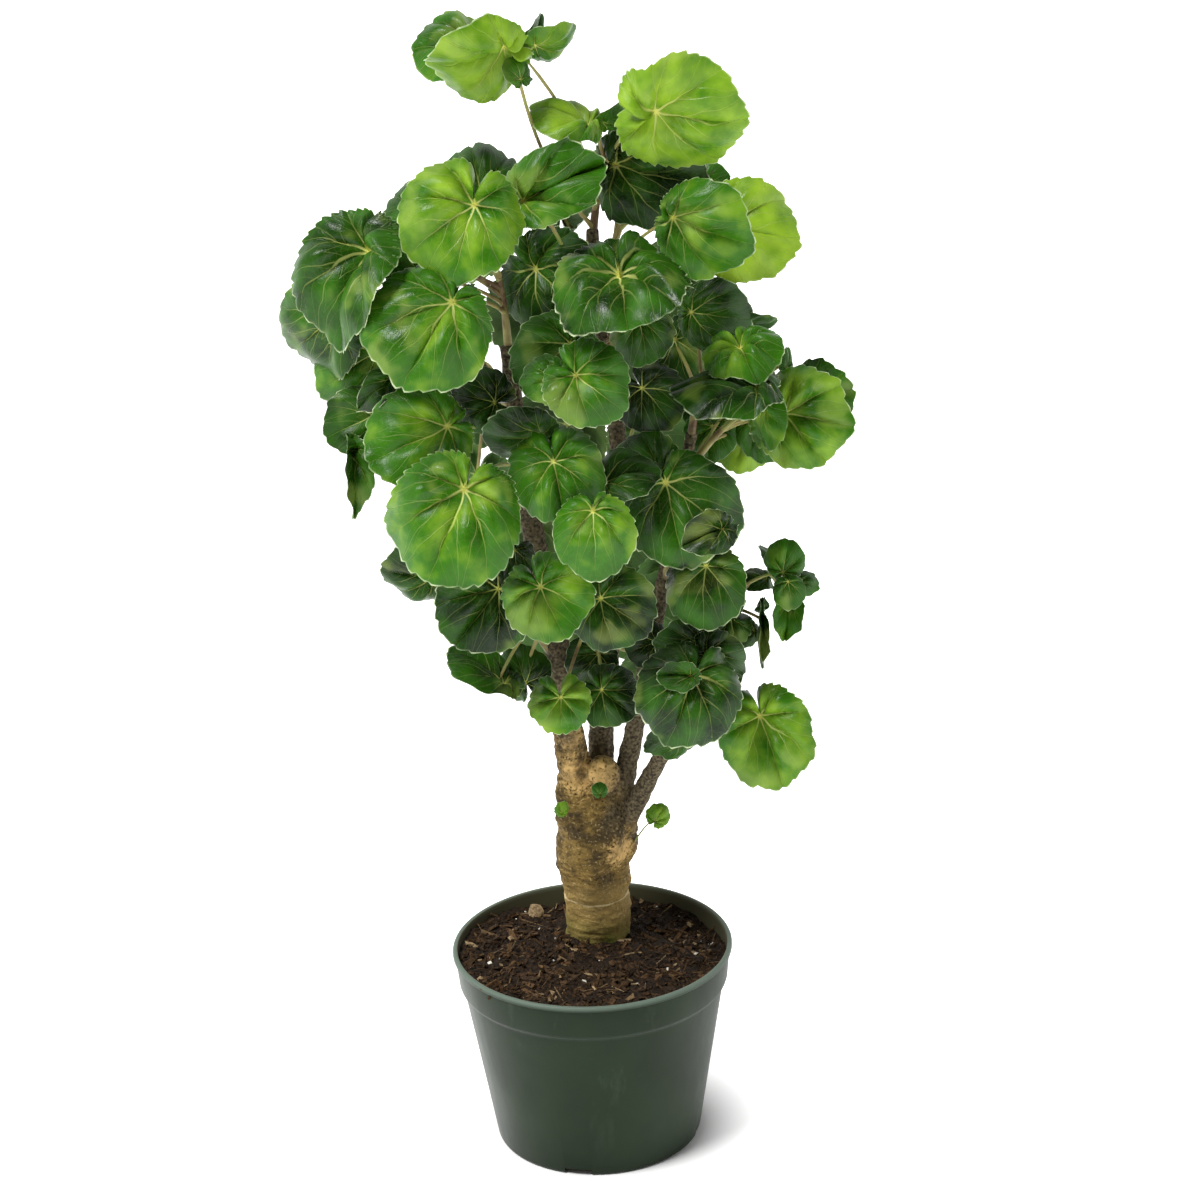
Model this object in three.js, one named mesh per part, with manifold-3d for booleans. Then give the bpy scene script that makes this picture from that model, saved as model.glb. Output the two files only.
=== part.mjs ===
// Potted Balfour aralia: a gnarled woody trunk with round scalloped leaves in a plain nursery pot.
// Millimetres, +Z up. The origin is the centre of the pot's underside, and the front is -Y.
import * as THREE from 'three'
import { mergeVertices } from 'three/addons/utils/BufferGeometryUtils.js'
import Module from 'manifold-3d'

const wasm = await Module()
wasm.setup()

// Driving dimensions
const gap = 0.3 // between two pieces that touch
const pot = {
  rimRadius: 103,
  height: 152,
  baseRadius: 76,
  wall: 1.8,
  floor: 2.5,
  lipHeight: 4,
  lipReach: 1.8,
  lipRound: 1,
  collarHeight: 26,
  collarStep: 3,
  collarSlope: 3, // height of the slope under the collar
  collarDraft: 2, // how much the collar narrows towards its foot
  footRound: 2,
  sides: 40,
  slotWidth: 20,
  slotHeight: 5,
  slotDepth: 14,
  slotTurn: -13, // degrees from the front to the first drain slot
}
const soil = { level: 144, frontRise: 3, sideFall: 2, grain: 1.4, cells: 10 }
const trunkFoot = 104 // the trunk's lower end, in the soil
const trunkRadii = [24, 24.3, 24.6, 25, 25.8, 28, 31.4, 33, 31.5, 27.5, 23, 19.5, 14] // foot to fork
const trunkRidges = [0.05, 0.03] // three and five ridges round the trunk, in trunk radii
const bladeThickness = 0.8
const scallops = [1.02, 0.95] // peaks and dips of a blade's edge
const notchDepth = 0.1 // from the hub to the notch behind it, in half widths
const sinusHalf = 13 // degrees from the notch to a blade's hind corners
const stalkRadius = 1.5
const stalkletRadius = 1.2
const stalkTip = 0.35
const stalkLanding = 5 // from the hub to where the stalk meets the blade
const stalkArch = 0.14 // rise of a stalk's middle, for its length
const stalkSag = 0.1 // and how far it bows away from its blade's face
const shortStalk = 36 // a stalk under this length bends in two steps, a longer one in three
const stemRadius = 3.4

// The photograph's camera, from the pot's ellipses, with the rim's width as the scale
const eye = {
  back: 2000,
  up: 1164.7,
  aimRight: 15.2,
  aimUp: 420.4,
  roll: -2.16, // degrees
  focal: 3021.7, // pixels
  middle: 600, // of the photograph, in pixels
}

const bark = 0x85704c
const potGreen = 0x3c5443
const earth = 0x33251c
const leafGreen = 0x3f7a22

const radians = THREE.MathUtils.degToRad
const vec = (x, y, z) => new THREE.Vector3(x, y, z)

// Axes of the picture: right, up, and towards the viewer
const camera = (() => {
  const from = vec(0, -eye.back, eye.up)
  const ahead = vec(eye.aimRight, 0, eye.aimUp).sub(from).normalize()
  const right = vec(0, 0, 1).cross(ahead).negate().normalize()
  const up = right.clone().cross(ahead)
  right.applyAxisAngle(ahead, -radians(eye.roll))
  up.applyAxisAngle(ahead, -radians(eye.roll))
  return { from, ahead, right, up, near: ahead.clone().negate() }
})()

// The point seen at a pixel of the 1200 pixel photograph, at a depth along Y
function fromPhoto([u, v, depth]) {
  const ray = camera.ahead.clone().multiplyScalar(eye.focal)
  ray.addScaledVector(camera.right, u - eye.middle)
  ray.addScaledVector(camera.up, eye.middle - v)
  return camera.from.clone().addScaledVector(ray, (depth + eye.back) / ray.y)
}

// Solids

function toSolid(geometry) {
  const bare = geometry.clone()
  bare.deleteAttribute('normal')
  bare.deleteAttribute('uv')
  const merged = mergeVertices(bare, 1e-4)
  const mesh = new wasm.Mesh({
    numProp: 3,
    vertProperties: new Float32Array(merged.attributes.position.array),
    triVerts: new Uint32Array(merged.index.array),
  })
  return new wasm.Manifold(mesh)
}

function toGeometry(solid) {
  const mesh = solid.getMesh()
  const geometry = new THREE.BufferGeometry()
  geometry.setAttribute('position', new THREE.BufferAttribute(new Float32Array(mesh.vertProperties), 3))
  geometry.setIndex(new THREE.BufferAttribute(new Uint32Array(mesh.triVerts), 1))
  geometry.computeVertexNormals()
  return geometry
}

const join = (solids) => solids.reduce((sum, next) => sum.add(next))

// The largest body of a solid: scraps that a cut leaves loose are dropped
function wholeBody(solid) {
  const bodies = solid.decompose()
  return bodies.reduce((best, next) => (next.volume() > best.volume() ? next : best))
}

// Moves each corner of a geometry by a rule
function reshape(geometry, rule) {
  const position = geometry.attributes.position
  for (let i = 0; i < position.count; i += 1) {
    const moved = rule(vec(position.getX(i), position.getY(i), position.getZ(i)))
    position.setXYZ(i, moved.x, moved.y, moved.z)
  }
  return geometry
}

// A limb: a cylinder bent along a curve. radius(t, angle) is its reach from the curve, t from 0 to 1,
// and grow makes it larger all round
function limb(curve, radius, sides, rings, grow = 0) {
  const frames = curve.computeFrenetFrames(rings, false)
  const cylinder = new THREE.CylinderGeometry(1, 1, 1, sides, rings)
  return toSolid(reshape(cylinder, (p) => {
    const t = p.y + 0.5
    const ring = Math.round(t * rings)
    const angle = Math.atan2(p.x, p.z)
    const reach = Math.hypot(p.x, p.z) > 0.5 ? radius(t, angle) + grow : 0
    const end = ring === rings ? grow : 0
    return curve.getPointAt(t)
      .addScaledVector(frames.tangents[ring], end)
      .addScaledVector(frames.binormals[ring], reach * Math.sin(angle))
      .addScaledVector(frames.normals[ring], reach * Math.cos(angle))
  }))
}

const taper = (start, end) => (t) => THREE.MathUtils.lerp(start, end, t)
const curveThrough = (points) => new THREE.CatmullRomCurve3(points, false, 'centripetal')

// A leaf stalk: a slender three-sided limb that ends in a tip of its own radius
function stalk(start, middle, end, radius, tipRadius) {
  const path = new THREE.QuadraticBezierCurve3(start, middle, end)
  const steps = start.distanceTo(end) > shortStalk ? 3 : 2
  return limb(path, (t) => (t < 1 ? radius : tipRadius), 3, steps)
}

// The bend of a stalk between two points: above their middle
function archOver(start, end) {
  return start.clone().lerp(end, 0.5).add(vec(0, 0, stalkArch * start.distanceTo(end)))
}

// Leaf blades

// A leaf is read from the photograph:
// hub: [u, v, depth], the pixel where its veins meet and its depth along Y
// width: across the blade. tip: the way that the midrib points in the picture, 0 right and 90 up
// lean: how far the tip comes towards the viewer. turn: how far its right edge does, seen tip up
// cup: rise of the edge. fold: how far each half rises. seat: the hub's place off the middle
// from: where its stalk leaves the stem, 0 root and 1 tip. bend: what the stalk bends towards
function bladeAxes({ hub, tip, lean = 0, turn = 0 }) {
  const flatTip = camera.right.clone().multiplyScalar(Math.cos(radians(tip)))
  flatTip.addScaledVector(camera.up, Math.sin(radians(tip)))
  const along = flatTip.clone().multiplyScalar(Math.cos(radians(lean)))
  along.addScaledVector(camera.near, Math.sin(radians(lean)))
  const face = camera.near.clone().multiplyScalar(Math.cos(radians(lean)))
  face.addScaledVector(flatTip, -Math.sin(radians(lean)))
  const left = face.clone().cross(along)
  left.applyAxisAngle(along, radians(turn))
  face.applyAxisAngle(along, radians(turn))
  return { hub: fromPhoto(hub), along, face, left }
}

const cornersFor = (width) => (width > 68 ? 18 : width > 46 ? 14 : width > 26 ? 10 : 8)

// Distance from the hub to the blade's edge, in half widths, with the angle from the tip
function edgeReach(angle, seat) {
  return seat * Math.cos(angle) + Math.sqrt(1 - (seat * Math.sin(angle)) ** 2)
}

// A blade's rim, from the tip round to the notch behind the hub and back
function rimPoint(leaf, corner, { hub, along, face, left }) {
  const { width, cup = 0.1, fold = 0, seat = 0.35, wave = 0.05 } = leaf
  const corners = cornersFor(width)
  const half = width / 2
  const notch = corner === corners / 2
  const share = (corner < corners / 2 ? corner : corner - corners) / (corners / 2 - 1)
  const angle = notch ? Math.PI : share * (Math.PI - radians(sinusHalf))
  const reach = half * (notch ? notchDepth : edgeReach(angle, seat) * scallops[corner % 2])
  const rise = reach * (cup + wave * Math.cos(3 * angle + hub.x))
  const across = reach * Math.sin(angle)
  const lift = rise * Math.cos(radians(fold)) + Math.abs(across) * Math.sin(radians(fold))
  return hub.clone()
    .addScaledVector(along, reach * Math.cos(angle))
    .addScaledVector(left, across * Math.cos(radians(fold)))
    .addScaledVector(face, lift)
}

// A blade: a thin disc whose rim is drawn out to a scalloped kidney with a notch behind the hub
function blade(leaf) {
  const axes = bladeAxes(leaf)
  const corners = cornersFor(leaf.width)
  const thickness = bladeThickness / Math.cos(radians(leaf.fold ?? 0))
  const disc = new THREE.CylinderGeometry(1, 1, 1, corners, 1)
  return toSolid(reshape(disc, (p) => {
    const corner = Math.round((Math.atan2(p.x, p.z) / (2 * Math.PI)) * corners)
    const middle = Math.hypot(p.x, p.z) < 0.5
    const place = middle ? axes.hub.clone() : rimPoint(leaf, (corner + corners) % corners, axes)
    return place.addScaledVector(axes.face, p.y * thickness)
  }))
}

// A leaf's stalk runs from the stem to the underside of its blade, arched upwards.
// Its tip ends inside the blade just ahead of the hub, between two corners of the rim
function stalkTo(start, leaf, radius) {
  const axes = bladeAxes(leaf)
  const rim = rimPoint(leaf, 0, axes).lerp(rimPoint(leaf, 1, axes), 0.5)
  const share = Math.min(0.3, stalkLanding / axes.hub.distanceTo(rim))
  const end = axes.hub.clone().lerp(rim, share)
  const bowed = archOver(start, end).addScaledVector(axes.face, -stalkSag * start.distanceTo(end))
  const middle = leaf.bend ? fromPhoto(leaf.bend) : bowed
  return stalk(start, middle, end, radius, stalkTip)
}

// A leaf of several blades, whose one stalk forks
function forkedLeaf(start, { fork, bend, blades }) {
  const end = fromPhoto(fork)
  const middle = bend ? fromPhoto(bend) : archOver(start, end)
  const parts = [stalk(start, middle, end, stalkRadius, stalkletRadius)]
  for (const leaf of blades) parts.push(blade(leaf), stalkTo(end, leaf, stalkletRadius))
  return parts
}

// A shoot: a green stem out of a branch, with its leaves
function shoot({ on, at, through, leaves }) {
  const root = branches[on].curve.getPointAt(at)
  const curve = curveThrough([root, ...through.map(fromPhoto)])
  const parts = [limb(curve, taper(stemRadius, 0.6 * stemRadius), 6, 4)]
  for (const leaf of leaves) {
    const start = curve.getPointAt(leaf.from)
    if (leaf.fork) parts.push(...forkedLeaf(start, leaf))
    else parts.push(blade(leaf), stalkTo(start, leaf, stalkRadius))
  }
  return join(parts)
}

// Wood

const trunkCurve = curveThrough([
  fromPhoto([598, 924, 36]).setZ(trunkFoot),
  fromPhoto([598, 924, 36]),
  fromPhoto([596, 888, 35]),
  fromPhoto([593, 855, 32]),
  fromPhoto([597, 825, 30]),
  fromPhoto([594, 796, 29]),
  fromPhoto([589, 768, 27]),
])

function trunkRadius(t, angle) {
  const place = t * (trunkRadii.length - 1)
  const low = Math.min(Math.floor(place), trunkRadii.length - 2)
  const round = THREE.MathUtils.lerp(trunkRadii[low], trunkRadii[low + 1], place - low)
  const three = trunkRidges[0] * Math.sin(3 * angle + 4 * t)
  const five = trunkRidges[1] * Math.sin(5 * angle - 9 * t)
  return round * (1 + THREE.MathUtils.smoothstep(t, 0.3, 0.5) * (three + five))
}

const branches = {
  left: {
    radii: [15, 6],
    points: [[590, 805, 27], [571, 748, 17], [564, 690, 8], [556, 640, 2], [538, 560, 0], [524, 470, 2],
      [514, 400, 6], [508, 345, 8]],
  },
  centre: {
    radii: [12, 5],
    points: [[604, 812, 34], [601, 738, 38], [606, 680, 36], [612, 600, 32], [617, 500, 26], [617, 430, 22],
      [606, 350, 20], [596, 290, 20], [592, 228, 20]],
  },
  right: {
    radii: [10, 4.5],
    points: [[616, 822, 28], [631, 745, 22], [642, 690, 16], [656, 620, 10], [672, 540, 6], [684, 475, 3],
      [692, 432, 0]],
  },
  lowRight: {
    radii: [10, 3.8],
    points: [[620, 832, 24], [646, 784, 8], [664, 750, -4], [685, 706, -10], [702, 660, -12],
      [712, 622, -12]],
  },
}
for (const branch of Object.values(branches)) branch.curve = curveThrough(branch.points.map(fromPhoto))

// The healed stub of a cut branch: a rounded boss low in the fork
function healedStub(grow) {
  const ball = new THREE.SphereGeometry(11 + grow, 10, 7)
  const place = fromPhoto([604, 778, 14])
  return toSolid(reshape(ball, (p) => vec(p.x, p.y * 1.1, p.z * 1.55).add(place)))
}

function wood(grow = 0) {
  const parts = [limb(trunkCurve, trunkRadius, 12, 16, grow)]
  for (const { curve, radii, points } of Object.values(branches)) {
    parts.push(limb(curve, taper(...radii), 7, points.length + 2, grow))
  }
  parts.push(healedStub(grow))
  return join(parts)
}

// Pot

// Radii of the wall outside, from the foot up: under the collar, at the collar's foot and at the mouth
function wallRadii() {
  const mouth = pot.rimRadius - pot.lipReach
  const collarFoot = mouth - pot.collarDraft
  return { mouth, collarFoot, shoulder: collarFoot - pot.collarStep }
}

const lathe = (profile) => {
  const points = profile.map(([radius, z]) => new THREE.Vector2(radius, z))
  return toSolid(new THREE.LatheGeometry(points, pot.sides).rotateX(Math.PI / 2))
}

function potSolid() {
  const { rimRadius, height, baseRadius, wall, floor, lipHeight, lipRound, footRound } = pot
  const { mouth, collarFoot, shoulder } = wallRadii()
  const collarZ = height - pot.collarHeight
  const shoulderZ = collarZ - pot.collarSlope
  let solid = lathe([
    [0, 0],
    [baseRadius - footRound, 0],
    [baseRadius, footRound],
    [shoulder, shoulderZ],
    [collarFoot, collarZ],
    [mouth, height - lipHeight],
    [rimRadius, height - lipHeight + lipRound],
    [rimRadius, height - lipRound],
    [rimRadius - lipRound, height],
    [mouth - wall, height],
    [collarFoot - wall, collarZ],
    [shoulder - wall, shoulderZ],
    [baseRadius - wall - 1, floor],
    [0, floor],
  ])
  for (let quarter = 0; quarter < 4; quarter += 1) {
    const slot = new THREE.BoxGeometry(pot.slotWidth, pot.slotDepth, 2 * pot.slotHeight)
    slot.translate(0, footRound - baseRadius, 0)
    slot.rotateZ(radians(pot.slotTurn + 90 * quarter))
    solid = solid.subtract(toSolid(slot))
  }
  return solid
}

// Soil

function soilHeight(x, y) {
  const fall = (soil.frontRise * -y + soil.sideFall * -x) / pot.rimRadius
  const lumps = Math.sin(x * 0.21 + 1.3) * Math.cos(y * 0.17 - 0.4) + 0.6 * Math.sin((x + y) * 0.37)
  return soil.level + fall + soil.grain * lumps
}

function soilSolid(trunkRoom) {
  const inset = pot.wall + gap
  const { mouth, collarFoot, shoulder } = wallRadii()
  const collarZ = pot.height - pot.collarHeight
  const filling = lathe([
    [0, pot.floor + gap],
    [pot.baseRadius - 1 - inset, pot.floor + gap],
    [shoulder - inset, collarZ - pot.collarSlope],
    [collarFoot - inset, collarZ],
    [mouth - inset, pot.height],
    [0, pot.height],
  ])
  const across = 2.2 * pot.rimRadius
  const block = new THREE.BoxGeometry(across, across, 1, soil.cells, soil.cells, 1)
  reshape(block, (p) => vec(p.x, p.y, p.z > 0 ? soilHeight(p.x, p.y) : 0))
  return wholeBody(filling.intersect(toSolid(block)).subtract(trunkRoom))
}

// Shoots, from the photograph

// A leaf at the back, which the photograph hides: it faces away from the viewer and a little up
function behind(from, hub, width, tip) {
  return { from, hub, width, tip, lean: -24, turn: 180 + 26 * Math.cos(radians(tip)) }
}

const shoots = {
  crown_top: {
    on: 'centre', at: 0.985, through: [[597, 200, 24], [604, 172, 22], [607, 158, 18]],
    leaves: [
      { from: 0.3, fork: [528, 62, 2], bend: [597, 146, 12], blades: [
        { hub: [475, 52, 26], width: 63, tip: 180, turn: 34 },
        { hub: [503, 45, -12], width: 70, tip: 195, turn: -57, fold: 10, seat: 0.5 },
        { hub: [523, 46, 8], width: 30, tip: 64, turn: 62, fold: 20, seat: 0.6 },
        { hub: [534, 44, -4], width: 38, tip: 18, turn: 64, seat: 0.55 },
      ] },
      { from: 0.12, hub: [520, 80, -22], bend: [539, 172, 0], width: 22, tip: 110, turn: 30, seat: 0.5 },
      { from: 0.9, fork: [594, 128, 2], blades: [
        { hub: [588, 127, -4], width: 50, tip: 166, turn: 55, seat: 0.6 },
        { hub: [602, 122, 2], width: 28, tip: 35, turn: 66, seat: 0.6 },
      ] },
      { from: 0.97, hub: [655, 110, -30], width: 88, tip: 357, turn: 40, seat: 0.36 },
      { from: 0.8, hub: [615, 165, 28], width: 84, tip: 347, turn: 12, fold: 24, seat: 0.6 },
    ],
  },
  crown_right: {
    on: 'centre', at: 0.9, through: [[612, 250, 34], [621, 224, 40], [624, 210, 44]],
    leaves: [
      { from: 0.12, hub: [673, 217, -30], width: 68, tip: 342, turn: 30, seat: 0.68 },
      { from: 0.92, hub: [724, 230, 24], width: 75, tip: 352, turn: -8, seat: 0.42 },
      { from: 0.78, hub: [704, 182, 48], width: 27, tip: 4 },
      { from: 0.98, hub: [671, 143, 46], width: 28, tip: 164 },
      { from: 0.6, hub: [629, 142, 58], width: 28, tip: 92 },
      { from: 0.5, hub: [625, 192, 70], width: 22, tip: 282 },
    ],
  },
  crown_left: {
    on: 'centre', at: 0.84, through: [[578, 274, 12], [562, 246, 6]],
    leaves: [
      { from: 0.95, hub: [525, 203, -30], width: 84, tip: 26, turn: 24, fold: 18, seat: 0.45 },
      { from: 0.5, hub: [534, 268, 14], width: 74, tip: 322, lean: 4, turn: 16, seat: 0.4 },
      { from: 0.8, hub: [481, 199, 24], width: 62, tip: 100, lean: -20 },
    ],
  },
  left_top: {
    on: 'left', at: 0.985, through: [[504, 306, 4], [498, 272, 0]],
    leaves: [
      { from: 0.95, hub: [472, 203, -60], width: 86, tip: 260, lean: 8, seat: 0.26 },
      { from: 0.9, hub: [447, 223, -12], width: 69, tip: 152, lean: -20 },
      { from: 0.8, hub: [374, 264, -44], width: 86, tip: 203, lean: -40, seat: 0.3 },
      { from: 0.7, hub: [389, 250, -20], width: 28, tip: 84 },
      { from: 0.5, hub: [450, 302, -78], width: 90, tip: 250, lean: 10, seat: 0.42 },
      { from: 0.6, hub: [430, 284, -36], width: 50, tip: 130 },
    ],
  },
  left_side: {
    on: 'left', at: 0.86, through: [[470, 350, 16], [430, 322, 22]],
    leaves: [
      { from: 0.98, hub: [349, 306, -12], width: 74, tip: 186, lean: -32, seat: 0.4 },
      { from: 0.85, hub: [377, 352, 10], width: 69, tip: 214, seat: 0.4 },
      { from: 0.72, hub: [396, 373, -32], width: 50, tip: 222, fold: 58, seat: 0.5 },
      { from: 0.6, hub: [374, 414, -16], width: 48, tip: 206, turn: -10, seat: 0.5 },
      { from: 0.45, hub: [348, 450, -34], width: 58, tip: 275, fold: 67, turn: -20, seat: 0.6 },
    ],
  },
  left_middle: {
    on: 'left', at: 0.62, through: [[508, 446, -12], [496, 428, -24]],
    leaves: [
      { from: 0.9, hub: [446, 426, -58], width: 75, tip: 212, lean: -8, seat: 0.42 },
      { from: 0.6, hub: [464, 490, -104], width: 96, tip: 252, lean: 8, seat: 0.38 },
      { from: 0.97, hub: [494, 402, -28], width: 46, tip: 168 },
      { from: 0.4, hub: [541, 433, -44], width: 52, tip: 182, turn: -46, seat: 0.5 },
    ],
  },
  left_low: {
    on: 'left', at: 0.34, through: [[524, 618, -14], [508, 606, -24]],
    leaves: [
      { from: 0.75, hub: [434, 574, -34], width: 54, tip: 172, turn: -38 },
      { from: 0.95, hub: [498, 590, -60], width: 68, tip: 232, seat: 0.42 },
      { from: 0.85, hub: [514, 550, -36], width: 38, tip: 236 },
      { from: 0.6, hub: [503, 685, -40], width: 60, tip: 148, turn: 66, seat: 0.5 },
      { from: 0.45, hub: [526, 682, -10], width: 40, tip: 110 },
    ],
  },
  front_top: {
    on: 'centre', at: 0.72, through: [[612, 350, -2], [610, 332, -14]],
    leaves: [
      { from: 0.95, hub: [622, 278, -58], width: 94, tip: 276, lean: 44, cup: 0.22, seat: 0.3 },
      { from: 0.85, hub: [613, 265, -12], width: 26, tip: 86 },
      { from: 0.7, hub: [641, 320, -34], width: 44, tip: 276, seat: 0.4 },
      { from: 0.9, hub: [577, 376, -70], width: 60, tip: 322, cup: 0.3, seat: 0.3 },
      { from: 0.5, hub: [570, 346, -30], width: 62, tip: 216, seat: 0.4 },
      { from: 0.8, hub: [555, 378, -62], width: 34, tip: 194 },
    ],
  },
  front_middle: {
    on: 'centre', at: 0.5, through: [[604, 500, -12], [598, 486, -30]],
    leaves: [
      { from: 0.9, hub: [556, 461, -68], width: 66, tip: 266, lean: 16, seat: 0.3 },
      { from: 0.95, hub: [593, 508, -104], width: 64, tip: 272, lean: 10, seat: 0.42 },
      { from: 0.7, hub: [606, 484, -60], width: 50, tip: 12, turn: -40, seat: 0.5 },
      { from: 0.3, hub: [642, 388, 2], width: 50, tip: 310 },
    ],
  },
  front_low: {
    on: 'centre', at: 0.3, through: [[590, 622, 0], [580, 608, -26]],
    leaves: [
      { from: 0.97, hub: [540, 587, -84], width: 65, tip: 284, seat: 0.22 },
      { from: 0.9, hub: [600, 598, -64], width: 61, tip: 324, seat: 0.36 },
      { from: 0.6, hub: [560, 699, -52], width: 43, tip: 274, seat: 0.12 },
      { from: 0.5, hub: [601, 690, -36], width: 46, tip: 322, seat: 0.3 },
      { from: 0.35, hub: [598, 654, -10], width: 38, tip: 226 },
    ],
  },
  right_top: {
    on: 'right', at: 0.985, through: [[696, 404, -6], [702, 376, -10]],
    leaves: [
      { from: 0.95, hub: [690, 312, -4], width: 54, tip: 348, turn: 22, seat: 0.45 },
      { from: 0.85, hub: [740, 321, 16], width: 32, tip: 8, turn: 74, seat: 0.6 },
      { from: 0.9, hub: [740, 349, -34], width: 56, tip: 295, lean: 46, seat: 0.2 },
      { from: 0.4, hub: [756, 391, -52], width: 76, tip: 186, turn: 60, seat: 0.5 },
      { from: 0.7, hub: [674, 340, 36], width: 52, tip: 288 },
    ],
  },
  right_far: {
    on: 'right', at: 0.9, through: [[712, 440, 4], [728, 424, 2]],
    leaves: [
      { from: 0.95, hub: [784, 415, -12], width: 71, tip: 350, seat: 0.34 },
      { from: 0.9, hub: [765, 404, -36], width: 42, tip: 290, turn: 62, seat: 0.5 },
      { from: 0.85, hub: [802, 402, 30], width: 54, tip: 14 },
      { from: 0.78, hub: [758, 415, 18], width: 46, tip: 298, turn: 24, seat: 0.55 },
      { from: 0.6, hub: [748, 430, 42], width: 42, tip: 250, seat: 0.5 },
      { from: 0.4, hub: [722, 419, 22], width: 22, tip: 62 },
      { from: 0.98, hub: [786, 368, 10], width: 18, tip: 94, turn: 60, seat: 0.6 },
      { from: 0.25, hub: [712, 426, 30], width: 38, tip: 262 },
    ],
  },
  right_middle: {
    on: 'right', at: 0.62, through: [[680, 520, -10], [684, 504, -22]],
    leaves: [
      { from: 0.9, hub: [670, 481, -46], width: 88, tip: 286, turn: 16, seat: 0.42 },
      { from: 0.8, hub: [719, 531, -80], width: 42, tip: 204, lean: 10, seat: 0.5 },
      { from: 0.6, hub: [708, 568, -44], width: 66, tip: 264, turn: 12, seat: 0.42 },
      { from: 0.7, hub: [660, 474, -20], width: 50, tip: 152, seat: 0.4 },
    ],
  },
  low_right: {
    on: 'lowRight', at: 0.74, through: [[702, 678, -26], [704, 664, -36]],
    leaves: [
      { from: 0.5, hub: [694, 674, -66], width: 74, tip: 248, lean: 10, seat: 0.4 },
      { from: 0.9, hub: [688, 677, -78], width: 32, tip: 180, seat: 0.5 },
      { from: 0.95, hub: [706, 655, -48], width: 47, tip: 314, seat: 0.34 },
      { from: 0.8, hub: [698, 642, -32], width: 42, tip: 184, turn: -30, seat: 0.5 },
    ],
  },
  low_front: {
    on: 'lowRight', at: 0.5, through: [[680, 722, -16], [674, 712, -24]],
    leaves: [
      { from: 0.6, hub: [684, 730, -40], width: 46, tip: 200, turn: -46 },
      { from: 0.9, hub: [656, 642, -22], width: 34, tip: 200 },
    ],
  },
  low_side: {
    on: 'lowRight', at: 0.6, through: [[706, 712, -12], [722, 706, -14]],
    leaves: [
      { from: 0.95, hub: [761, 717, -32], width: 75, tip: 287, fold: 24, seat: 0.36 },
    ],
  },
  right_side: {
    on: 'lowRight', at: 0.97, through: [[722, 604, 0], [734, 594, 4]],
    leaves: [
      { from: 0.6, hub: [762, 614, -6], width: 50, tip: 272, fold: 79, seat: 0.5 },
      { from: 0.98, fork: [770, 574, 4], blades: [
        { hub: [783, 572, -6], width: 29, tip: 80, seat: 0.6 },
        { hub: [788, 582, -14], width: 24, tip: 278, seat: 0.6 },
        { hub: [799, 582, 4], width: 18, tip: 350, seat: 0.6 },
        { hub: [777, 572, 12], width: 28, tip: 122, turn: 66, seat: 0.6 },
        { hub: [789, 600, 10], width: 36, tip: 264, fold: 50, seat: 0.6 },
      ] },
      { from: 0.85, hub: [766, 580, 20], width: 24, tip: 186, turn: 50, seat: 0.6 },
      { from: 0.4, hub: [754, 631, 10], width: 20, tip: 192, turn: 20, seat: 0.6 },
      { from: 0.2, hub: [730, 617, -22], width: 48, tip: 196, turn: -20 },
    ],
  },
  back_top: {
    on: 'centre', at: 0.86, through: [[594, 300, 50], [590, 284, 74]],
    leaves: [
      behind(0.8, [476, 236, 62], 74, 158),
      behind(0.9, [560, 214, 76], 58, 96),
      behind(0.85, [648, 276, 78], 66, 330),
      behind(0.97, [548, 298, 118], 78, 232),
      behind(0.95, [612, 326, 124], 74, 296),
    ],
  },
  back_left: {
    on: 'left', at: 0.8, through: [[492, 372, 46], [478, 360, 72]],
    leaves: [
      behind(0.8, [436, 330, 64], 78, 176),
      behind(0.6, [424, 436, 46], 64, 206),
      behind(0.95, [468, 396, 112], 76, 232),
      behind(0.7, [478, 476, 74], 72, 254),
    ],
  },
  back_middle: {
    on: 'centre', at: 0.5, through: [[602, 500, 66], [592, 486, 92]],
    leaves: [
      behind(0.9, [568, 424, 132], 78, 220),
      behind(0.95, [642, 432, 136], 74, 334),
      behind(0.97, [600, 526, 144], 78, 268),
      behind(0.7, [530, 524, 98], 68, 226),
    ],
  },
  back_right: {
    on: 'right', at: 0.7, through: [[696, 500, 44], [700, 488, 66]],
    leaves: [
      behind(0.9, [696, 396, 74], 64, 50),
      behind(0.95, [680, 486, 104], 68, 300),
      behind(0.6, [676, 568, 76], 64, 286),
    ],
  },
  back_low: {
    on: 'centre', at: 0.26, through: [[592, 640, 72], [580, 630, 94]],
    leaves: [
      behind(0.7, [500, 604, 70], 60, 202),
      behind(0.95, [556, 600, 132], 72, 250),
      behind(0.9, [626, 606, 130], 70, 302),
      behind(0.6, [652, 662, 80], 62, 318),
    ],
  },
}

// Very small new leaves on the trunk: root is the pixel and depth where the stalk leaves the bark
const sprouts = {
  left: { root: [572, 800, 16], leaf: { hub: [561, 812, -4], width: 13, tip: 70, turn: 30, seat: 0.5 } },
  middle: { root: [602, 796, 12], leaf: { hub: [600, 795, -14], width: 15, tip: 96, seat: 0.5 } },
  right: { root: [632, 846, 22], leaf: { hub: [655, 822, 2], width: 21, tip: 58, seat: 0.5 } },
}

const sprout = ({ root, leaf }) => blade(leaf).add(stalkTo(fromPhoto(root), leaf, stalkletRadius))

const group = new THREE.Group()

function addNode(name, solid, color, roughness) {
  const material = new THREE.MeshStandardMaterial({ color, roughness, metalness: 0 })
  const mesh = new THREE.Mesh(toGeometry(solid), material)
  mesh.name = name
  group.add(mesh)
}

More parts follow.
